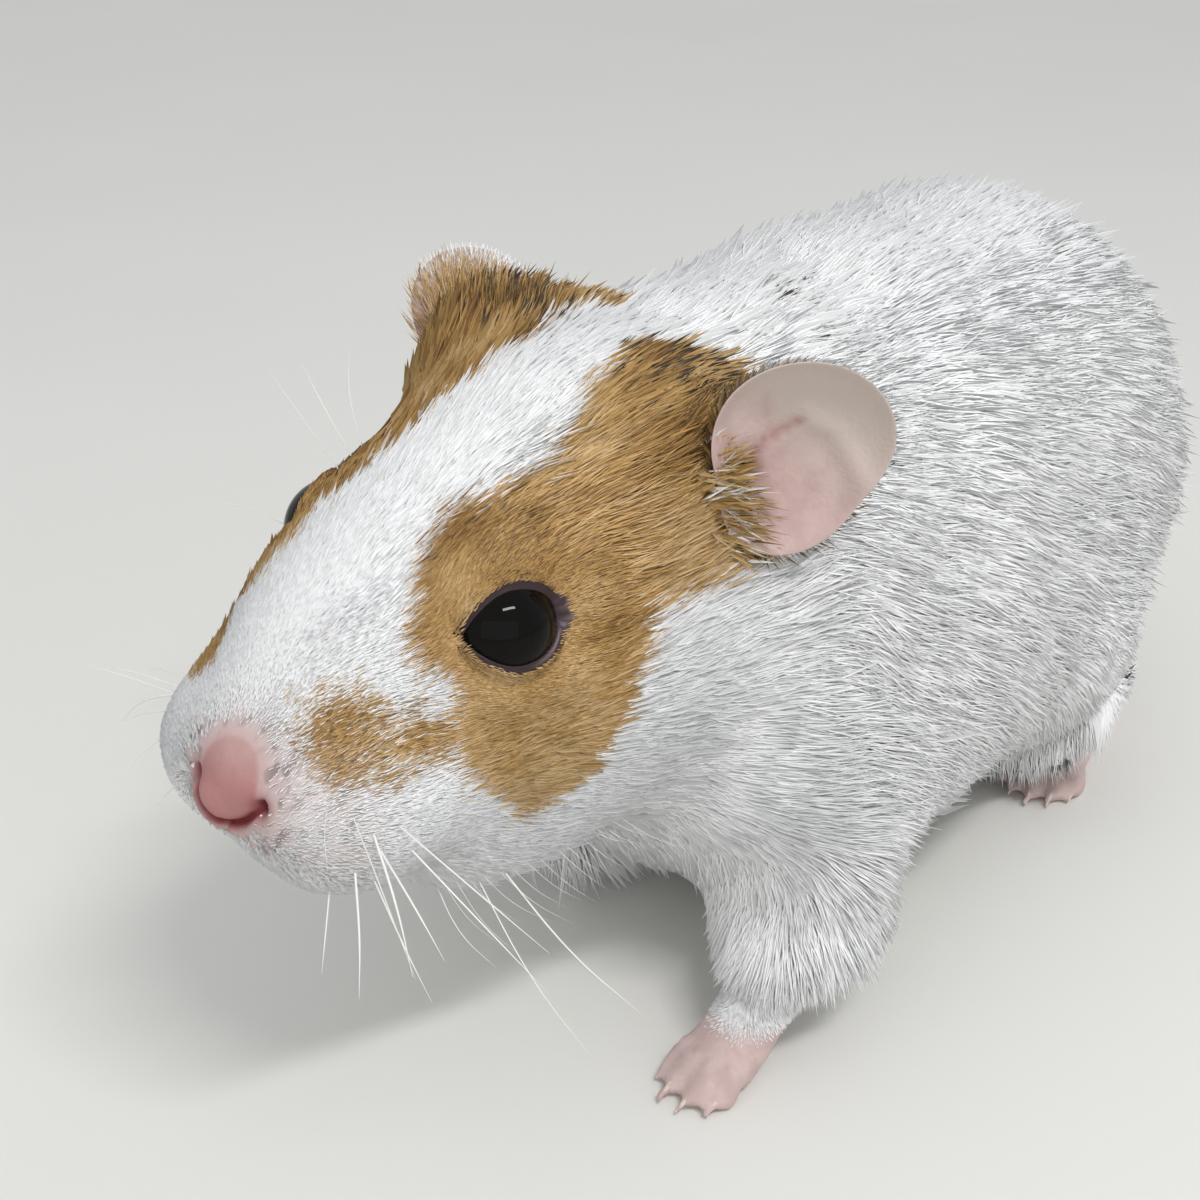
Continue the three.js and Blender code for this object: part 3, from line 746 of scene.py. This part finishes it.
def noise(tree, size, detail=2.0):
    """Noise on the piece's own coordinates, whose blots are about that many millimetres wide."""
    place = tree.nodes.new("ShaderNodeTexCoord")
    node = tree.nodes.new("ShaderNodeTexNoise")
    node.inputs["Scale"].default_value = 1 / (size * MM)
    node.inputs["Detail"].default_value = detail
    tree.links.new(place.outputs["Object"], node.inputs["Vector"])
    return node.outputs["Fac"]


UNDER_WHITE = (0.88, 0.87, 0.86)
UNDER_GOLD = (0.44, 0.28, 0.12)
PINK_LIGHT = (0.58, 0.44, 0.41)
PINK_DARK = (0.5, 0.37, 0.35)
EAR_ASHEN = (0.54, 0.47, 0.42)
BLUSH_RED = (0.37, 0.125, 0.12)
SLIT_RED = (0.2, 0.022, 0.026)
DUSK = (0.035, 0.02, 0.022)
MOIST = (0.22, 0.17, 0.19)
DRY_ROUGHNESS = (0.5, 0.5, 0.5)
MOIST_ROUGHNESS = (0.15, 0.15, 0.15)
GRAIN_SIZE = 0.35
GRAIN_DEPTH = 0.12

hide, tree, shader = shader_of("skin")
under = mixed(tree, attribute(tree, "gold"), UNDER_WHITE, UNDER_GOLD)
pink = mixed(tree, spanned(tree, noise(tree, 1.8), 0.35, 0.65), PINK_LIGHT, PINK_DARK)
pink = mixed(tree, attribute(tree, "ashen"), pink, EAR_ASHEN)
pink = mixed(tree, attribute(tree, "blush"), pink, BLUSH_RED)
colour = mixed(tree, attribute(tree, "bare"), under, pink)
colour = mixed(tree, attribute(tree, "slit_red"), colour, SLIT_RED)
colour = mixed(tree, attribute(tree, "dusk"), colour, DUSK)
colour = mixed(tree, attribute(tree, "moist"), colour, MOIST)
tree.links.new(colour, shader.inputs["Base Color"])
wet = mixed(tree, attribute(tree, "moist"), DRY_ROUGHNESS, MOIST_ROUGHNESS)
tree.links.new(wet, shader.inputs["Roughness"])
shader.inputs["Specular IOR Level"].default_value = 0.25
bumps = tree.nodes.new("ShaderNodeBump")
bumps.inputs["Strength"].default_value = 0.4
bumps.inputs["Distance"].default_value = GRAIN_DEPTH * MM
tree.links.new(noise(tree, GRAIN_SIZE, 3), bumps.inputs["Height"])
tree.links.new(bumps.outputs["Normal"], shader.inputs["Normal"])
skin_mesh.materials.append(hide)
skin_mesh.shade_smooth()
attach(skin, "root")
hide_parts(*FURRED, *BARE, "ear_left", "ear_right")

# ---------------------------------------------------------------- the coat
# Short dense fur, as thin overlapping tufts that lean back from the nose and lie along the body.
# Each is a closed sliver of four faces: a root in the skin, two sides at its widest, and a fine tip.


def triangles_of(mesh):
    mesh.calc_loop_triangles()
    corners = np.empty(len(mesh.loop_triangles) * 3, np.int32)
    loops = np.empty_like(corners)
    mesh.loop_triangles.foreach_get("vertices", corners)
    mesh.loop_triangles.foreach_get("loops", loops)
    return corners.reshape(-1, 3), loops.reshape(-1, 3)


skin_points = places(skin_mesh)
skin_slopes = slopes(skin_mesh)
skin_corners, skin_loops = triangles_of(skin_mesh)
skin_map = np.empty(len(skin_mesh.loops) * 2, np.float32)
skin_mesh.uv_layers[MAP].data.foreach_get("uv", skin_map)
skin_map = skin_map.reshape(-1, 2)
on_ear = skin_corners.min(axis=1) >= ear_from


def rooted(count, share, seed):
    """Roots spread over the skin: places, slopes, spots on the unwrap and corners. share is per triangle."""
    chance = np.random.default_rng(seed)
    a, b, c = (skin_points[skin_corners[:, i]] for i in range(3))
    total = np.cumsum(np.linalg.norm(np.cross(b - a, c - a), axis=1) * share)
    picks = (np.arange(count) + chance.uniform(0, 1, count)) / count * total[-1]
    face = np.searchsorted(total, picks).clip(0, len(total) - 1)
    u, v = np.sqrt(chance.uniform(0, 1, count)), chance.uniform(0, 1, count)
    mix = np.stack([1 - u, u * (1 - v), u * v], axis=1)[:, :, None]
    return (
        (skin_points[skin_corners[face]] * mix).sum(1),
        unit((skin_slopes[skin_corners[face]] * mix).sum(1)),
        (skin_map[skin_loops[face]] * mix).sum(1),
    )


def crown_rise(points):
    """1 on the mounds before the ears, where the hair stands up."""
    head = in_head(points)
    return bump(head[:, 0] + 14.5, 3.6) * ease(head[:, 2], 2, 7) * ease(np.abs(head[:, 1]), 1, 5)


def lie(points, normals):
    """The way that the hair lies: back from the nose, round the eyes, along the body and down the legs."""
    head = in_head(points)
    on_head = (ease(head[:, 0], -26, -14) * ease(head[:, 2], -27, -20))[:, None]
    side = np.clip(head[:, 1] / 6, -1, 1)
    low = ease(-head[:, 2], 4, 12)
    flow = np.stack([-np.ones(len(head)), 0.25 * side, 0.12 - 0.4 * low], axis=1)
    upright = np.stack([np.full_like(side, 0.2), 0.5 * side, np.full_like(side, 0.9)], axis=1)
    flow = (flow + crown_rise(points)[:, None] * upright) @ HEAD_TURN.T
    across = np.clip(points[:, 0] / 20, -1, 1)
    body = np.stack([0.12 * across, np.ones(len(points)), -0.12 - 0.4 * np.abs(across)], axis=1)
    facing_forward = np.maximum(-normals[:, 1], 0) * (1 - on_head[:, 0])
    body[:, 2] -= 1.1 * facing_forward
    body[:, 1] *= 1 - 0.7 * facing_forward
    flow = flow * on_head + body * (1 - on_head)
    for eye in EYES.values():
        away = points - eye
        far = np.linalg.norm(away, axis=1, keepdims=True)
        flow = flow + away / far * 0.9 * np.exp(-(((far - 3.2) / 2.2) ** 2))
    for leg in LEGS:
        near, _ = beside(points, leg[1], leg[2])
        pull = ((1 - ease(near, 5, 11)) * (1 - ease(points[:, 2], 10, 20)))[:, None]
        flow = flow * (1 - pull) + np.array((0, 0.3, -1)) * pull
    near, _ = beside(points, TAIL_ROOT, TAIL_TIP)
    pull = (1 - ease(near, 3, 8))[:, None]
    flow = flow * (1 - pull) + unit(TAIL_TIP - TAIL_ROOT) * pull
    flow = flow + 0.16 * np.stack([ripple(points, 6, seed) for seed in (1, 2, 3)], axis=1)
    flow = flow + 0.1 * np.stack([ripple(points, 2, seed) for seed in (4, 5, 6)], axis=1)
    return unit(flow - (flow * normals).sum(1, keepdims=True) * normals)


TO_WAIST, TO_TIP = 0.42, 0.58  # a tuft's two lengths, before and after its widest
ROOT_DEPTH = 0.12
SWAY = 0.14
LOCK = 8  # one tuft in so many leads the others near it
SPOT_SIZE = 0.003  # of one tuft on the skin's unwrap
LOWEST_TIP = 0.3
WIDEST_TIP, PRESSED = 24.5, 0.8  # past this, the hair of the haunches is pressed flat


def tufts(
    name, roots, normals, spots, along, lengths, widths, marks, seed, raised=(26, 6), drawn=0.14, lift=0
):
    """One mesh of closed slivers, one on each root, with what the coat's colours read from them.

    raised is how far they stand off the skin, in degrees, near the root and near the tip.
    """
    chance = np.random.default_rng(seed)
    count = len(roots)
    across = np.cross(normals, along)
    sway = chance.normal(0, SWAY, (count, 1))
    along, across = unit(along + across * sway), unit(across - along * sway)
    lift = np.broadcast_to(lift, count)[:, None]
    first, last = (radians(angle) * chance.uniform(0.8, 1.2, (count, 1)) + lift for angle in raised)
    rise = along * np.cos(first) + normals * np.sin(first)
    fall = along * np.cos(last) + normals * np.sin(last)
    lengths = (lengths * chance.uniform(0.75, 1.15, count))[:, None]
    waist = roots + rise * lengths * TO_WAIST
    tips = waist + fall * lengths * TO_TIP
    # Neighbouring tips draw together a little, as locks do.
    leaders = np.arange(0, count, LOCK)
    locks = KDTree(len(leaders))
    for i in leaders:
        locks.insert(roots[i], i)
    locks.balance()
    leader = np.array([locks.find(root)[1] for root in roots])
    tips = tips + (tips[leader] - tips) * drawn
    for place in (waist, tips):
        over = np.maximum(np.abs(place[:, 0]) - WIDEST_TIP, 0)
        place[:, 0] -= np.sign(place[:, 0]) * over * PRESSED
        place[:, 2] = np.maximum(place[:, 2], LOWEST_TIP)
    half = across * widths[:, None] / 2
    root = roots - normals * ROOT_DEPTH
    verts = np.stack([root, waist - half, waist + half, tips], axis=1)
    sideways = across * 0.06
    soft = normals + (tips - root) * 0.004
    shades = unit(np.stack([soft, soft - sideways, soft + sideways, soft], axis=1))
    base = np.arange(count)[:, None, None] * 4
    faces = (base + np.array([(0, 1, 2), (1, 3, 2), (0, 3, 1), (0, 2, 3)])).reshape(-1)
    mesh = bpy.data.meshes.new(name)
    mesh.vertices.add(count * 4)
    mesh.vertices.foreach_set("co", (verts * MM).astype(np.float32).ravel())
    mesh.loops.add(len(faces))
    mesh.loops.foreach_set("vertex_index", faces.astype(np.int32))
    mesh.polygons.add(len(faces) // 3)
    mesh.polygons.foreach_set("loop_start", np.arange(0, len(faces), 3, dtype=np.int32))
    mesh.update(calc_edges=True)
    mesh.shade_smooth()
    mesh.normals_split_custom_set_from_vertices(shades.reshape(-1, 3).astype(np.float32))
    patch = np.array([(0, -0.5), (-0.4, 0), (0.4, 0), (0, 0.5)]) * SPOT_SIZE
    layer = mesh.uv_layers.new(name=MAP)
    spread = (spots[:, None, :] + patch).reshape(-1, 2)[faces]
    layer.data.foreach_set("uv", spread.astype(np.float32).ravel())
    paint(mesh, **{key: np.repeat(value, 4) for key, value in marks.items()})
    paint(mesh, tone=np.repeat(chance.uniform(0, 1, count), 4), along=np.tile([0, 0.45, 0.45, 1], count))
    piece = placed(name, mesh)
    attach(piece, "root")
    mesh.materials.append(hair)


HAIR_PER_DEPTH = 2.5
HEIGHTS = [3, 8, 14, 22]
FORE_SHARES = [0.5, 1.5, 0.75, 1]
HIND_SHARES = [0.5, 0.7, 0.75, 1]
HAIR_WIDTHS = ([0.5, 2.3, 4.3, 6], [0.045, 0.06, 0.072, 0.105])  # by length


def hair_length(points):
    fore = np.interp(points[:, 2], HEIGHTS, FORE_SHARES)
    hind = np.interp(points[:, 2], HEIGHTS, HIND_SHARES)
    low_down = fore + (hind - fore) * ease(points[:, 1], -10, 0)
    return np.maximum(coat_depth(points), 0.25) * HAIR_PER_DEPTH * low_down


def hair_width(points):
    return np.interp(hair_length(points), *HAIR_WIDTHS)


def clothed(points):
    """1 where hair grows, and 0 on the nose, the rims of the eyes, the feet and tail."""
    cover = (1 - on_limb_ends(points)) * (1 - ease(on_pad(points), 0.1, 0.7)) * (1 - 0.93 * on_lips(points))
    cover = cover * (1 - 0.85 * whisker_pad(points)) * (1 - bump(nostril_distance(points), 1.1))
    return cover * ease(rim_gap(points), 0.12, 0.34)


def reckoned(tree, operation, *values):
    node = tree.nodes.new("ShaderNodeMath")
    node.operation = operation
    for socket, value in zip(node.inputs, values):
        if isinstance(value, bpy.types.NodeSocket):
            tree.links.new(value, socket)
        else:
            socket.default_value = value
    return node.outputs[0]


WHITE_HAIR = (0.93, 0.93, 0.925)
# Painted shade: white hairs are a little darker towards the root, for the shade between the hairs.
WHITE_ROOT_SHADE = (0.91, 0.905, 0.9)
WHITE_DULL = (0.83, 0.825, 0.82)
GOLD_ROOT = (0.45, 0.32, 0.19)
GOLD_PALE = (0.66, 0.46, 0.24)
GOLD_MIDDLE = (0.5, 0.305, 0.11)
GOLD_DEEP = (0.25, 0.13, 0.044)
SOOT = (0.07, 0.05, 0.038)

hair, tree, shader = shader_of("hair")
along, tone, deep = (attribute(tree, name) for name in ("along", "tone", "deep"))
white = mixed(tree, spanned(tree, along, 0.1, 0.6), WHITE_ROOT_SHADE, WHITE_HAIR)
white = mixed(tree, reckoned(tree, "MULTIPLY", reckoned(tree, "POWER", tone, 2.0), 0.18), white, WHITE_DULL)
shade = reckoned(tree, "ADD", deep, reckoned(tree, "MULTIPLY", reckoned(tree, "SUBTRACT", tone, 0.5), 0.7))
gold = mixed(tree, spanned(tree, shade, 0.0, 0.45), GOLD_PALE, GOLD_MIDDLE)
gold = mixed(tree, spanned(tree, shade, 0.4, 1.05), gold, GOLD_DEEP)
gold = mixed(tree, spanned(tree, along, 0.0, 0.5), GOLD_ROOT, gold)
soot = reckoned(tree, "MULTIPLY", attribute(tree, "sooty"), spanned(tree, along, 0.35, 0.85))
coloured = mixed(tree, attribute(tree, "gold"), white, gold)
tree.links.new(mixed(tree, soot, coloured, SOOT), shader.inputs["Base Color"])
shader.inputs["Roughness"].default_value = 0.6
shader.inputs["Specular IOR Level"].default_value = 0.12

TUFTS = 352000
PIECES = 8
SEEN_AT = 0.55  # the part of a hair that isn't under its neighbours
SOOT_SHARE = 0.55
STRAY_SHARE = 0.03  # longer and thinner hairs, which stand off
STRAY_LIFT = 0.12
CROWN_LIFT = 0.45
middles = (skin_points[skin_corners]).mean(axis=1)
share = clothed(middles) / hair_length(middles) ** 0.9 / hair_width(middles) * ~on_ear
roots, normals, spots = rooted(TUFTS, share, 11)
order = np.argsort(in_head(roots)[:, 0], kind="stable")[::-1]
chance = np.random.default_rng(12)
lengths, way = hair_length(roots), lie(roots, normals)
seen = roots + way * lengths[:, None] * SEEN_AT
mottled = 0.35 + 0.8 * bump(np.linalg.norm(in_head(roots) - MUZZLE_SPOT, axis=1), 4.5)
in_gold = ease(golden(seen) + chance.normal(0, 1, TUFTS) * mottled, -0.4, 0.4)
has_soot = (chance.uniform(0, 1, TUFTS) < sooty(seen) * SOOT_SHARE).astype(float)
nape = np.linalg.norm(in_head(seen) - NAPE_SMUDGE, axis=1) < 6
has_soot = has_soot * np.maximum(ease(golden(seen), -1.2, 0), nape)
deep = deep_gold(seen)
strays = chance.uniform(0, 1, TUFTS) < STRAY_SHARE
lengths = lengths * (1 + 0.15 * strays)
lift = STRAY_LIFT * strays + CROWN_LIFT * crown_rise(roots)
for i, part in enumerate(np.array_split(order, PIECES)):
    marks = {"gold": in_gold[part], "sooty": has_soot[part], "deep": deep[part]}
    look = (way[part], lengths[part], hair_width(roots[part]) * (1 - 0.3 * strays[part]), marks, 20 + i)
    tufts(f"coat_{i + 1}", roots[part], normals[part], spots[part], *look, lift=lift[part])

# ---------------------------------------------------------------- the ears' hair
# Fine short down on the backs of the ears, and a loose fringe in the fur before each opening.
# Both are tufts like the coat's, rooted in the same skin.

EAR_TUFTS = 9000
DOWN_WIDTH = 0.06
behind = ear_back[skin_corners].mean(axis=1) * on_ear
bare_rim = 1 - 0.85 * ease(ear_reaches[skin_corners].mean(axis=1), 0.45, 0.95)
roots, normals, spots = rooted(EAR_TUFTS, behind * bare_rim, 13)
chance = np.random.default_rng(14)
on_right = in_head(roots)[:, 1] < 0
reach = np.empty(EAR_TUFTS)
way = np.empty((EAR_TUFTS, 3))
for side in SIDES:
    this = on_right == (side == "right")
    s, t, _ = at_ear(roots[this], side)
    across, upward, _ = ear_axes(side)
    reach[this] = np.hypot(s + 1, t)
    way[this] = unit((s + 1)[:, None] * across + t[:, None] * upward)
way = unit(way - (way * normals).sum(1, keepdims=True) * normals)
marks = {
    "gold": ease(8.5 - reach + chance.normal(0, 1, EAR_TUFTS), -1, 1),
    "sooty": 0.8 * (chance.uniform(0, 1, EAR_TUFTS) < 0.12),
    "deep": np.full(EAR_TUFTS, 0.35),
}
lengths = np.interp(reach, [2, 10], [2.2, 0.9])
widths = np.full(EAR_TUFTS, DOWN_WIDTH)
tufts("ear_down", roots, normals, spots, way, lengths, widths, marks, 41, raised=(24, 12), drawn=0)

FRINGE_TUFTS = 800
FRINGE_WIDTH = 0.065
off_ear = skin_corners.max(axis=1) < ear_from
for side in SIDES:
    s, t, d = at_ear(middles, side)
    before = 1 - ease(np.hypot(np.hypot((s + 1.7) / 2, (t - 0.3) / 6), d / 4), 0.4, 1)
    before = before * off_ear * (s < 0.5)
    roots, _, spots = rooted(FRINGE_TUFTS, before, 15)
    chance = np.random.default_rng(16)
    across, upward, opening = ear_axes(side)
    _, t, _ = at_ear(roots, side)
    way = across + 0.12 * t[:, None] * upward + 0.3 * opening
    way = unit(way + chance.normal(0, 0.28, way.shape))
    marks = {
        "gold": (chance.uniform(0, 1, FRINGE_TUFTS) < 0.85).astype(float),
        "sooty": np.zeros(FRINGE_TUFTS),
        "deep": chance.uniform(0, 0.7, FRINGE_TUFTS),
    }
    lengths, widths = chance.uniform(1.6, 4.4, FRINGE_TUFTS), np.full(FRINGE_TUFTS, FRINGE_WIDTH)
    facing = np.tile(opening, (FRINGE_TUFTS, 1))
    look = (way, lengths, widths, marks, 42)
    tufts("ear_fringe_" + side, roots, facing, spots, *look, raised=(14, 4), drawn=0.3)

# ---------------------------------------------------------------- the whiskers
# Long white hairs from the whisker pads and chin, and finer ones over the right eye and along the jaw.
# Each is one tapering strand, swept from a curve and rooted in the skin.


def two_toned(name, blot, first, second, roughness):
    """A material of two close colours in soft blots, and its shader."""
    material, tree, shader = shader_of(name)
    tree.links.new(mixed(tree, noise(tree, blot), first, second), shader.inputs["Base Color"])
    shader.inputs["Roughness"].default_value = roughness
    return material, shader


def strands(name, lines, thickness, sides):
    """One mesh of round tapering strands. Each line is a list of places with a share of the thickness."""
    curve = bpy.data.curves.new(name, "CURVE")
    curve.dimensions = "3D"
    curve.bevel_depth = thickness / 2 * MM
    curve.bevel_resolution = sides
    curve.resolution_u = 6
    for line in lines:
        spline = curve.splines.new("BEZIER")
        spline.bezier_points.add(len(line) - 1)
        for point, (place, share) in zip(spline.bezier_points, line):
            point.co = Vector(place) * MM
            point.radius = share
            point.handle_left_type = point.handle_right_type = "AUTO"
    curve.use_fill_caps = True
    swept = placed(name, curve)
    mesh = bpy.data.meshes.new_from_object(swept.evaluated_get(bpy.context.evaluated_depsgraph_get()))
    bpy.data.objects.remove(swept)
    mesh.shade_smooth()
    made = placed(name, mesh)
    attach(made, "root")
    return made


# Root, tip and share of the thickness, in the head's own axes, for the left side.
WHISKERS = [
    ((12.7, 10.0, -7.7), (16.4, 17, -13.4), 1), ((14.3, 9.5, -10.1), (17.8, 13.6, -14.4), 0.9),
    ((15.2, 7.8, -12.3), (17.8, 9.6, -15.4), 0.6), ((12.7, 9.8, -9.2), (14.5, 17.4, -13), 0.9),
    ((11.4, 10.4, -8), (10.5, 22, -13.5), 0.7), ((11, 10.4, -10), (8, 20, -18), 0.7),
    ((13.6, 9.3, -6.6), (17.5, 20, -8), 0.5), ((13.2, 9.6, -11.5), (14, 14.5, -17.5), 0.7),
    ((6.8, 6.0, -18.6), (8, 12.8, -22.1), 0.5), ((3.5, 9.1, -17.8), (2, 23, -23), 0.8),
    ((4.8, 8.2, -18), (6, 19, -24), 0.6), ((14.6, 8.2, -5.8), (19, 14, -4.5), 0.35),
]
BROWS = [
    ((-0.8, 7.8, 5.2), (-1.8, 12.6, 11), 0.5), ((0.6, 7.2, 5.4), (1.5, 12, 12), 0.4),
    ((-2, 8.6, 5), (-6, 13, 10.5), 0.4), ((2, 10.2, -1), (6.5, 15, 2), 0.35),
]
WHISKER_THICKNESS = 0.19
WHISKER_REACH = {"left": 1, "right": 0.82}
WHISKER_ROOT = 0.3
WHISKER_LIGHT = (0.86, 0.85, 0.81)
WHISKER_DARK = (0.76, 0.74, 0.69)
lines = []
chance = np.random.default_rng(51)
kinds = [(line, side) for side in SIDES for line in WHISKERS] + [(line, "right") for line in BROWS]
jaw = []
for x in range(-6, 9):
    jaw.append(((x, 9.5 - 0.2 * abs(x), -17.3), (x - 2, 12.5 + chance.uniform(-1, 2), -21), 0.2))
kinds += [(line, side) for side in SIDES for line in jaw]
to_skin = KDTree(len(skin_points))
for i, place in enumerate(skin_points):
    to_skin.insert(place, i)
to_skin.balance()
for (root, tip, share), side in kinds:
    root, tip = (from_head(*np.multiply(place, (1, SIDES[side], 1))) for place in (root, tip))
    on_skin, nearest, _ = to_skin.find(root)
    on_skin, slope = np.array(on_skin), skin_slopes[nearest]
    tip = tip + chance.normal(0, 0.06, 3) * np.linalg.norm(tip - root)
    tip = root + (tip - root) * WHISKER_REACH[side]
    bend = on_skin + (tip - on_skin) * 0.5 + slope * np.linalg.norm(tip - on_skin) * 0.09
    lines.append([(on_skin - slope * WHISKER_ROOT, share), (bend, share * 0.75), (tip, share * 0.12)])
whiskers = strands("whiskers", lines, WHISKER_THICKNESS, 1)
bristle, _ = two_toned("bristle", 2, WHISKER_LIGHT, WHISKER_DARK, 0.35)
whiskers.data.materials.append(bristle)

# ---------------------------------------------------------------- the claws
# A short curved claw of pale horn at the end of each toe, set in the toe's skin. Each is a tapering
# strand, laid out from its leg's lowest joint and the foot's heading.

FORE = [(8.4 - 0.35 * y * y, y) for y in (-2.1, -0.75, 0.75, 2.1)]
HIND = [(15.4 - 0.3 * y * y, y) for y in (-2.8, -1.5, 0, 1.5, 2.8)]
FEET = [(FORE, -12), (FORE, 6), (HIND, 5), (HIND, -8)]  # toes as reach and side, and the foot's heading
CLAW = [(-0.7, 1.0, 1.0), (0.1, 1.1, 0.9), (1.0, 0.5, 0.12)]  # forward of the toe's end, height, share
CLAW_THICKNESS = 0.72
CLAW_STRETCH = 1.8
CLAW_SET_BACK = 0.3
TOE_SPREAD = 1.18
HORN_LIGHT = (0.72, 0.6, 0.54)
HORN_DARK = (0.6, 0.47, 0.41)
lines = []
for (toes, heading), leg in zip(FEET, LEGS):
    joint = leg[2] * (1, 1, 0)
    forward = np.array(Euler((0, 0, radians(heading - 90))).to_matrix())
    for reach, y in toes:
        claw = [(reach - CLAW_SET_BACK + x * CLAW_STRETCH, y * TOE_SPREAD, z) for x, z, _ in CLAW]
        lines.append([(joint + forward @ place, share) for place, (_, _, share) in zip(claw, CLAW)])
claws = strands("claws", lines, CLAW_THICKNESS, 3)
horn, _ = two_toned("horn", 0.8, HORN_LIGHT, HORN_DARK, 0.3)
claws.data.materials.append(horn)

# ---------------------------------------------------------------- the eyes
# Black glossy balls, each in place of its solid and set as deep as the lids leave it. The opening shows
# most of the front of the ball.

EYE_BLACK = (0.002, 0.002, 0.002)
EYE_BROWN = (0.005, 0.004, 0.003)
eye_gloss, shader = two_toned("eye", 1.2, EYE_BLACK, EYE_BROWN, 0.03)
shader.inputs["IOR"].default_value = 1.2
for side, eye in EYES.items():
    ball = bmesh.new()
    bmesh.ops.create_uvsphere(ball, u_segments=64, v_segments=40, radius=EYE_RADIUS * MM)
    bmesh.ops.translate(ball, verts=ball.verts, vec=Vector(eye) * MM)
    mesh = as_mesh(ball, "eyeball_" + side)
    mesh.shade_smooth()
    eyeball = placed("eyeball_" + side, mesh)
    mesh.materials.append(eye_gloss)
    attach(eyeball, "root")
    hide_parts("eye_" + side)

# ---------------------------------------------------------------- the studio
# A plain pale floor, soft light from all round, and a window high on the left.

FLOOR_SIZE = 2  # metres
FLOOR_DARK = (0.72, 0.71, 0.67)
FLOOR_LIGHT = (0.76, 0.75, 0.71)
SKY = (0.95, 0.97, 1, 1)
SKY_STRENGTH = 0.74
floor_shape = bmesh.new()
bmesh.ops.create_grid(floor_shape, x_segments=1, y_segments=1, size=FLOOR_SIZE)
floor_mesh = as_mesh(floor_shape, "floor")
placed("floor", floor_mesh)
pale, _ = two_toned("floor", 60, FLOOR_DARK, FLOOR_LIGHT, 0.8)
floor_mesh.materials.append(pale)

world = bpy.data.worlds.new("studio")
world.use_nodes = True
world.node_tree.nodes["Background"].inputs["Color"].default_value = SKY
world.node_tree.nodes["Background"].inputs["Strength"].default_value = SKY_STRENGTH
bpy.context.scene.world = world
bpy.context.scene.view_settings.view_transform = "Standard"


def soft_light(name, place, target, size, power):
    data = bpy.data.lights.new(name, "AREA")
    data.shape = "RECTANGLE"
    data.size, data.size_y = size[0] * MM, size[1] * MM
    data.energy = power
    light = placed(name, data)
    light.location = Vector(place) * MM
    light.rotation_euler = (Vector(target) - Vector(place)).to_track_quat("-Z", "Y").to_euler()


soft_light("key", (178, -101, 330), (0, 0, 20), (150, 28), 0.6)
soft_light("fill", (460, -660, 160), (0, -20, 30), (1200, 800), 1.3)
